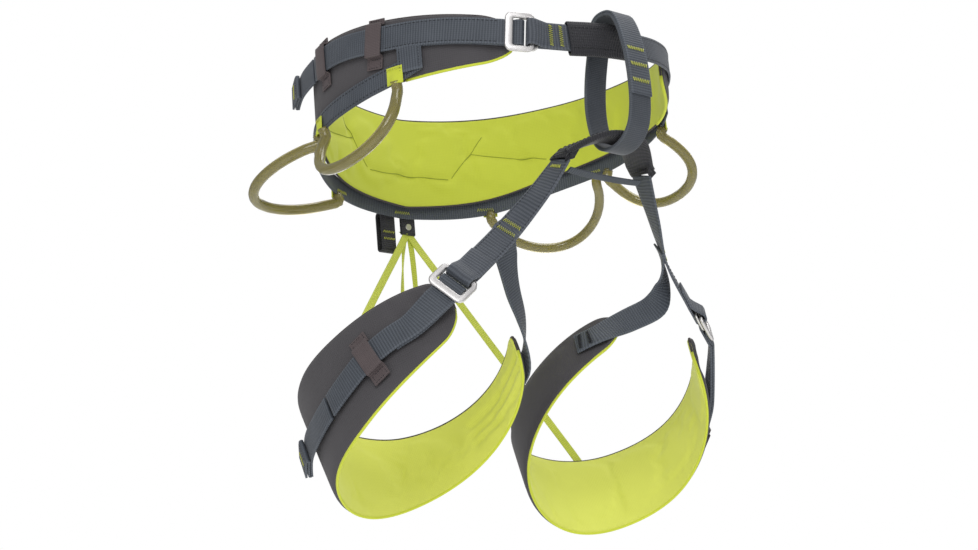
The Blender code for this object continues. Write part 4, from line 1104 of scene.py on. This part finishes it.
leg_ovals = {}
for name, (side, middle, lean, outward, turn) in LEG_POSES.items():
    body = f"leg_loop_{name}"
    oval = Oval(middle, LEG_HALF_WIDTH, LEG_HALF_DEPTH, LEG_HALF_DEPTH, leg_axes(side, lean, outward, turn),
                side=side, flare=LEG_FLARE)
    leg_ovals[name] = oval
    pad_inner = PAD_INNER[name]
    pad = Pad(oval, PAD_OUTER, pad_inner, LEG_STATIONS, LEG_BOTTOM, LEG_TOP, 12)
    # Three pleats in the lining, from the inner end back along the thigh
    pleats = [[pad.flat(316, high), pad.flat(262, low)]
              for low, high in ((0.004, 0.010), (-0.004, 0.001), (-0.012, -0.008))]

    def press_leg(distance, height, pleats=pleats):
        return 0.0024 * max(near_line((distance, height), *line, 0.0062) for line in pleats)

    leg_pad = sew_pad(f"leg_pad_{name}", pad, body,
                      tuple(f"leg_pad_{name}_{layer}" for layer in ("shell", "foam", "lining")),
                      press_leg, PALE_KNIT)
    ends = (PAD_OUTER, pad_inner)
    for edge, tape, lines in (
        ("lower", LIME_BINDING, [pad_edge_line(pad, 0, *ends)]),
        ("upper", umber_tape, [pad_edge_line(pad, 1, *ends), *(pad_end_line(pad, end) for end in ends)]),
    ):
        sew_lines(f"leg_binding_{edge}_{name}", lines, tape, leg_pad, 0.0010, sides=2)

    places = [oval.at(a, h, SPINE_OUT + lift) for a, h, lift in LEG_STRAP_ON_PAD]
    normals = [oval.normal(a) for a, _, _ in LEG_STRAP_ON_PAD]
    knot = len(places)
    to_tie_in = LEG_STRAP_TO_TIE_IN[name]
    start, end = (np.array(to_tie_in[i][0]) * MM for i in (0, 1))
    forward = unit(end - start)
    places += [start, start + forward * 0.006, end - forward * 0.006]
    normals += [to_tie_in[0][1]] * 3
    places += [np.array(spot) * MM for spot, _ in to_tie_in[1:]]
    normals += [normal for _, normal in to_tie_in[1:]]
    spine = Spine(places, normals)
    buckle_at = spine.knots[knot + 1] + 0.0005
    hinge_at = spine.knots[3]

    strap(f"leg_adjuster_webbing_{name}", spine,
          adjuster_stations(buckle_at, spine.knots[6], hinge_at + TAIL_OVERLAP), body=body,
          replaces=(f"leg_adjuster_strap_{name}",), slot="webbing")
    riser = strap(f"leg_riser_webbing_{name}", spine, fixed_stations(buckle_at, spine.length),
                  material=TWILL_WEBBING, body=body, replaces=(f"leg_riser_{name}",), slot="webbing")
    fork = spine.knots[knot + 4]
    tacks = [bar_tack(spine, at, WEBBING / 2, width) for at, width in (
        (fork + 0.004, 0.015), (fork + 0.011, 0.015), (spine.length - 0.007, 0.010))]
    sew_lines(f"leg_riser_bar_tacks_{name}", tacks, yellow_thread, riser, BAR_THREAD)
    seams = []
    for aside in (-0.0084, 0.0084):
        seams += seam_on(spine, buckle_at + 0.050, spine.length - 0.003, WEBBING / 2, aside)
    sew_lines(f"leg_riser_seams_{name}", seams, black_thread, riser, FINE_THREAD)
    fit_buckle(f"leg_buckle_{name}", spine, buckle_at, body, f"leg_buckle_frame_{name}")
    sew_keeper(f"leg_keeper_tape_{name}", spine, spine.knots[5], body, (f"leg_keeper_{name}",))
    sew_tail(f"leg_tail_webbing_{name}", spine, hinge_at, f"leg_strap_tail_{name}", f"leg_tail_end_{name}")

    inner = LEG_INNER_STRAP[name]
    # The strap starts behind the riser, and is sewn to it there
    inner_places = [np.array((side * 71.1, -105.2, -146.9)) * MM] + [np.array(spot) * MM for spot, _ in inner]
    inner_normals = [(side * 0.62, -0.62, 0.38)] + [normal for _, normal in inner]
    for angle in INNER_STRAP_ON_PAD:
        inner_places.append(oval.at(angle, 0.006, SPINE_OUT + CLEARANCE * 3))
        inner_normals.append(oval.normal(angle))
    inner_spine = Spine(inner_places, inner_normals)
    inner_strap = strap(f"leg_inner_webbing_{name}", inner_spine, run(0, inner_spine.length, 0), body=body,
                        replaces=(f"leg_inner_strap_{name}",), slot="webbing")
    tacks = [bar_tack(inner_spine, inner_spine.length - back, WEBBING / 2, 0.015) for back in (0.004, 0.012)]
    sew_lines(f"leg_inner_bar_tacks_{name}", tacks, black_thread, inner_strap, BAR_THREAD)

# The gear loops. Each is a clear gold tube, 8.5 mm across, over a lime cord that is sewn into the
# belt at both ends, so that the loop stands out from the hip. A yellow tape covers each sewn end.

GEAR_TUBE = 0.0085
GEAR_DROP = 0.0054
GEAR_FRONT = (66.0, 99.0)
GEAR_REAR = (104.6, 147.0)

# Clear vinyl with a gold tint: glossy, a little hazy, and letting the cord inside show through
gold_tube, tree, shader = new_material("clear gold vinyl tube", {
    "Roughness": 0.16, "IOR": 1.5, "Transmission Weight": 0.72, "Coat Weight": 0.25,
})
place = add_node(tree, "TexCoord").outputs["Object"]
haze = add_node(tree, "TexNoise", None, {"Vector": place, "Scale": 60.0, "Detail": 3.0})
dress_shader(tree, shader, haze.outputs["Fac"], ("#b3a765", "#d3c78a"))
GEAR_CORD_BRAID = cloth_material("olive braided cord", "#9a9a3c", "#6d6c25", 0.0016, 0.0002, 0.7, 0.1)


def hang_gear_loop(name, side, angles, depth, bulge, skew, swing):
    """A tube and its cord bent into a hoop between two angles of the belt, swung out from straight down by an
    angle.
    """
    ends = [waist.at(side * angle, lower_edge(angle) - GEAR_DROP, 0.0015) for angle in angles]
    middle = (ends[0] + ends[1]) / 2
    chord = ends[1] - ends[0]
    length = np.linalg.norm(chord)
    chord = chord / length
    down = unit(np.array([0, 0, -1]) - chord * -chord[2])
    away = np.cross(down, chord)
    away = away * np.sign(np.dot(away, middle * (1, 1, 0)))
    turn = math.radians(swing)
    hang = down * math.cos(turn) + away * math.sin(turn)
    hoop = []
    for t in np.linspace(0, math.pi, 25):
        along = -math.cos(t) * (1 + bulge * math.sin(t)) * length / 2 + skew * math.sin(t)
        hoop.append(middle + chord * along + hang * depth * max(math.sin(t), 0) ** 0.8)
    roots = [waist.at(side * angle, lower_edge(angle) + 0.0015, 0.0035) for angle in angles]
    line = catmull_rom([roots[0], *hoop, roots[1]], 3)
    for part, radius, material, sides, slot, node in (
        ("tube", GEAR_TUBE / 2, gold_tube, 6, "clear_tube", f"{name}_tube"),
        ("cord", 0.0023, GEAR_CORD_BRAID, 3, "loop_cord", f"{name}_cord"),
    ):
        data = tube_mesh(f"{name}_{part}_body", [line], radius, material, sides)
        piece = new_piece(f"{name}_{part}_body", data, replaces=(node,), slot=slot)
        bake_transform(piece)


hang_gear_loop("gear_loop_front_right", -1, GEAR_FRONT, 0.050, 0.25, -0.003, 26)
hang_gear_loop("gear_loop_front_left", 1, GEAR_FRONT, 0.050, 0.25, -0.003, 50)
hang_gear_loop("gear_loop_rear_right", -1, GEAR_REAR, 0.062, -0.17, -0.004, 74)
hang_gear_loop("gear_loop_rear_left", 1, GEAR_REAR, 0.062, -0.17, -0.004, 66)


def sew_gear_tab(name, side, angle, node):
    """A short yellow tape sewn over a gear loop's root, bulging where the tube passes under it."""
    rows = []
    for height in np.linspace(0.0125, -0.0015, 7):
        bulge = 0.0026 * min(max((0.009 - height) / 0.009, 0), 1)
        row = []
        for step in np.linspace(-1, 1, 13):
            here = angle + step * 2.5
            swell = bulge * math.exp(-((step / 0.62) ** 2))
            row.append(waist.at(side * here, lower_edge(angle) + height, SPINE_OUT + STACK + 0.0004 + swell))
        rows.append(row)
    piece = cloth_strip(name, rows, 0.0009, LIME_BINDING, edge=0.0002, body="belt", replaces=(node,),
                        slot="loop_tab")
    tack = zigzag(lambda turn, step: waist.at(side * (angle + turn), lower_edge(angle) + 0.0105 + step,
                                              SPINE_OUT + STACK + 0.0012), 12, 4.2, 0.0009)
    sew_lines(f"{name}_tack", [tack], yellow_thread, piece, COARSE_THREAD)


for side, name in ((-1, "right"), (1, "left")):
    for place, angle in (("front", GEAR_FRONT[0]), ("middle", (GEAR_FRONT[1] + GEAR_REAR[0]) / 2),
                         ("rear", GEAR_REAR[1])):
        sew_gear_tab(f"gear_tab_tape_{place}_{name}", side, angle, f"gear_tab_{place}_{name}")

# The back of the belt. A black tab riveted to the webbing carries the leg elastics, and beside it
# hangs a flat black loop for a haul line.

webbing_back = waist.at(180, 0, SPINE_OUT + WEBBING / 2)[1]
back_low = lower_edge(180)
REAR_TAB_X, REAR_TAB_HEIGHT, REAR_TAB_THICKNESS, REAR_TAB_WIDTH = 0.005, 0.022, 0.0030, 0.014
tab_top = back_low + 0.009
tab_y = webbing_back + 0.0008
tab_rows = []
for share in np.linspace(-0.5, 0.5, 5):
    x = REAR_TAB_X + share * REAR_TAB_WIDTH
    down_front = [(x, tab_y + 0.0006, z)
                  for z in np.linspace(tab_top, tab_top - REAR_TAB_HEIGHT + 0.0015, 9)]
    fold = [(x, tab_y + 0.0015 - 0.0009 * math.cos(t),
             tab_top - REAR_TAB_HEIGHT + 0.0012 - 0.0007 * math.sin(t))
            for t in np.linspace(0.4, math.pi - 0.4, 5)]
    up_back = [(x, tab_y + 0.0024, z)
               for z in np.linspace(tab_top - REAR_TAB_HEIGHT + 0.0015, tab_top, 9)]
    tab_rows.append(down_front + fold + up_back)
rear_tab = cloth_strip("rear_tab_webbing", tab_rows, 0.0012, SLEEVE_WEAVE, edge=0.0003, body="belt",
                       replaces=("rear_tab",), slot="sleeve")
tab_seams = []
for x in (-0.0052, 0.0052):
    tab_seams += running_stitch(
        lambda d, h: (REAR_TAB_X + x, tab_y + 0.0030 + h, tab_top - 0.002 - d), 0.018, pitch=0.0024)
sew_lines("rear_tab_seams", tab_seams, black_thread, rear_tab, FINE_THREAD)

RIVET_DROP = 0.006          # from the lower webbing's edge to the rivet


def rivet_disc(radii, depth):
    disc = bmesh.new()
    bmesh.ops.create_cone(disc, cap_ends=True, segments=32, radius1=radii[0], radius2=radii[1], depth=depth)
    return disc


def face_back(disc, back):
    """Turns a disc to look backwards, and puts it on the rivet's line."""
    turn = Matrix.Rotation(math.radians(-90), 3, "X")
    bmesh.ops.rotate(disc, verts=disc.verts, cent=(0, 0, 0), matrix=turn)
    bmesh.ops.translate(disc, verts=disc.verts, vec=(REAR_TAB_X, back, back_low - RIVET_DROP))


head = rivet_disc((0.0035, 0.0035), 0.0012)
top_face = max(head.faces, key=lambda f: f.calc_center_median().z)
bmesh.ops.inset_region(head, faces=[top_face], thickness=0.0012)
bmesh.ops.translate(head, verts=top_face.verts, vec=(0, 0, -0.0005))
turned = [e for e in head.edges if len(e.link_faces) == 2 and e.calc_face_angle() > 0.6]
bmesh.ops.bevel(head, geom=turned, offset=0.00022, segments=3, affect="EDGES", profile=0.5, material=-1)
face_back(head, tab_y + 0.0030 + 0.0010)
head_data = mesh_data(head, "rear_tab_rivet_head", forged)
head_data.set_sharp_from_angle(angle=SHARP)
rivet = new_piece("rear_tab_rivet_head", head_data, body="belt", replaces=("rear_tab_rivet",), slot="alloy")
tail = rivet_disc((0.0026, 0.0030), 0.0008)
face_back(tail, tab_y - 0.0003)
new_piece("rear_tab_rivet_tail", mesh_data(tail, "rear_tab_rivet_tail", forged, smooth=False), parent=rivet)

HAUL_X, HAUL_WIDTH, HAUL_LENGTH, HAUL_DEPTH = -0.016, 0.014, 0.034, 0.0068
haul_pivot = np.array([HAUL_X, webbing_back + HAUL_DEPTH / 2 + 0.0016, back_low + 0.001])
haul_line = []
for turn in np.linspace(90, 450, 25):
    t = math.radians(turn)
    drop = (HAUL_LENGTH - HAUL_DEPTH) if math.sin(t) < -0.01 else 0
    haul_line.append(haul_pivot[1:] + (math.cos(t) * HAUL_DEPTH / 2, math.sin(t) * HAUL_DEPTH / 2 - drop))
haul_rows = [[(HAUL_X + share * HAUL_WIDTH, *spot) for spot in haul_line]
             for share in np.linspace(-0.5, 0.5, 5)]
haul = cloth_strip("haul_loop_webbing", haul_rows, WEBBING, SLEEVE_WEAVE, closed=True, edge=0.0004,
                   body="haul_loop", replaces=("haul_loop",), slot="sleeve")
haul_front = haul_pivot[1] - HAUL_DEPTH / 2 - 0.0010
haul_tacks = [zigzag(lambda x, step: (HAUL_X + x, haul_front, haul_pivot[2] - drop + step), 13, 0.011, 0.0009)
              for drop in (0.014, 0.020)]
sew_lines("haul_loop_bar_tacks", haul_tacks, yellow_thread, haul, HEAVY_THREAD)

# The elastics. Flat braided lime elastic, 6.5 mm wide: one from the tab to the back of each leg
# loop, kept just taut, and a slack length that hangs from the tab as a loop.

ELASTIC_WIDTH, ELASTIC_THICKNESS = 0.0065, 0.0014
LEG_ELASTIC = {"right": 168.0, "left": 155.0}
ELASTIC_BRAID = webbing_material("lime braided elastic", "#dde665", "#b4be3c", 0.0016, 0.00020)
tab_low = tab_top - REAR_TAB_HEIGHT - 0.0008
elastic_back = tab_y + REAR_TAB_THICKNESS / 2
for name, oval in leg_ovals.items():
    side = oval.side
    angle = LEG_ELASTIC[name]
    top = np.array([REAR_TAB_X + side * 0.0038, elastic_back, tab_low - 0.0022])
    foot = oval.at(angle, edge_height(LEG_STATIONS, LEG_TOP, angle) + 0.0022, -0.0025)
    root = np.array([REAR_TAB_X + side * 0.0030, elastic_back, tab_low + 0.004])
    spots = [root] + [top + (foot - top) * share for share in (0, 0.3, 0.7, 1)]
    faces = [(0, 1, 0), (0, 1, 0), (0, 1, 0), oval.normal(angle), oval.normal(angle)]
    spots.append(oval.at(angle, edge_height(LEG_STATIONS, LEG_TOP, angle) - 0.008, -0.0030))
    faces.append(oval.normal(angle))
    spine = Spine(spots, faces)
    piece = strap(f"elastic_band_{name}", spine, run(0, spine.length, 0, 0.004), ELASTIC_WIDTH,
                  ELASTIC_THICKNESS, ELASTIC_BRAID, replaces=(f"elastic_{name}",), slot="elastic")
    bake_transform(piece)

SLACK_LINE = (
    ((2.5, 0, 0), (0, 1, 0)), ((-1, 0, -22), (-0.7, 0.7, 0)), ((-4, 0, -55), (-1, 0, 0)),
    ((-1, 0, -68), (-0.7, 0, -0.7)), ((3, 0, -71), (0, 0, -1)), ((7, 0, -68), (0.7, 0, -0.7)),
    ((10, 0, -55), (1, 0, 0)), ((9.5, 0, -22), (0.7, 0.7, 0)), ((7.5, 0, 0), (0, 1, 0)),
)
slack_y = elastic_back + ELASTIC_THICKNESS + CLEARANCE
slack_places = [(x * MM, slack_y + y * MM, tab_low + z * MM) for (x, y, z), _ in SLACK_LINE]
slack_spine = Spine(slack_places, [normal for _, normal in SLACK_LINE])
slack = strap("elastic_slack_loop", slack_spine, run(0, slack_spine.length, 0, 0.003), ELASTIC_WIDTH * 0.7,
              ELASTIC_THICKNESS, ELASTIC_BRAID, body="belt", replaces=("elastic_slack",), slot="elastic")
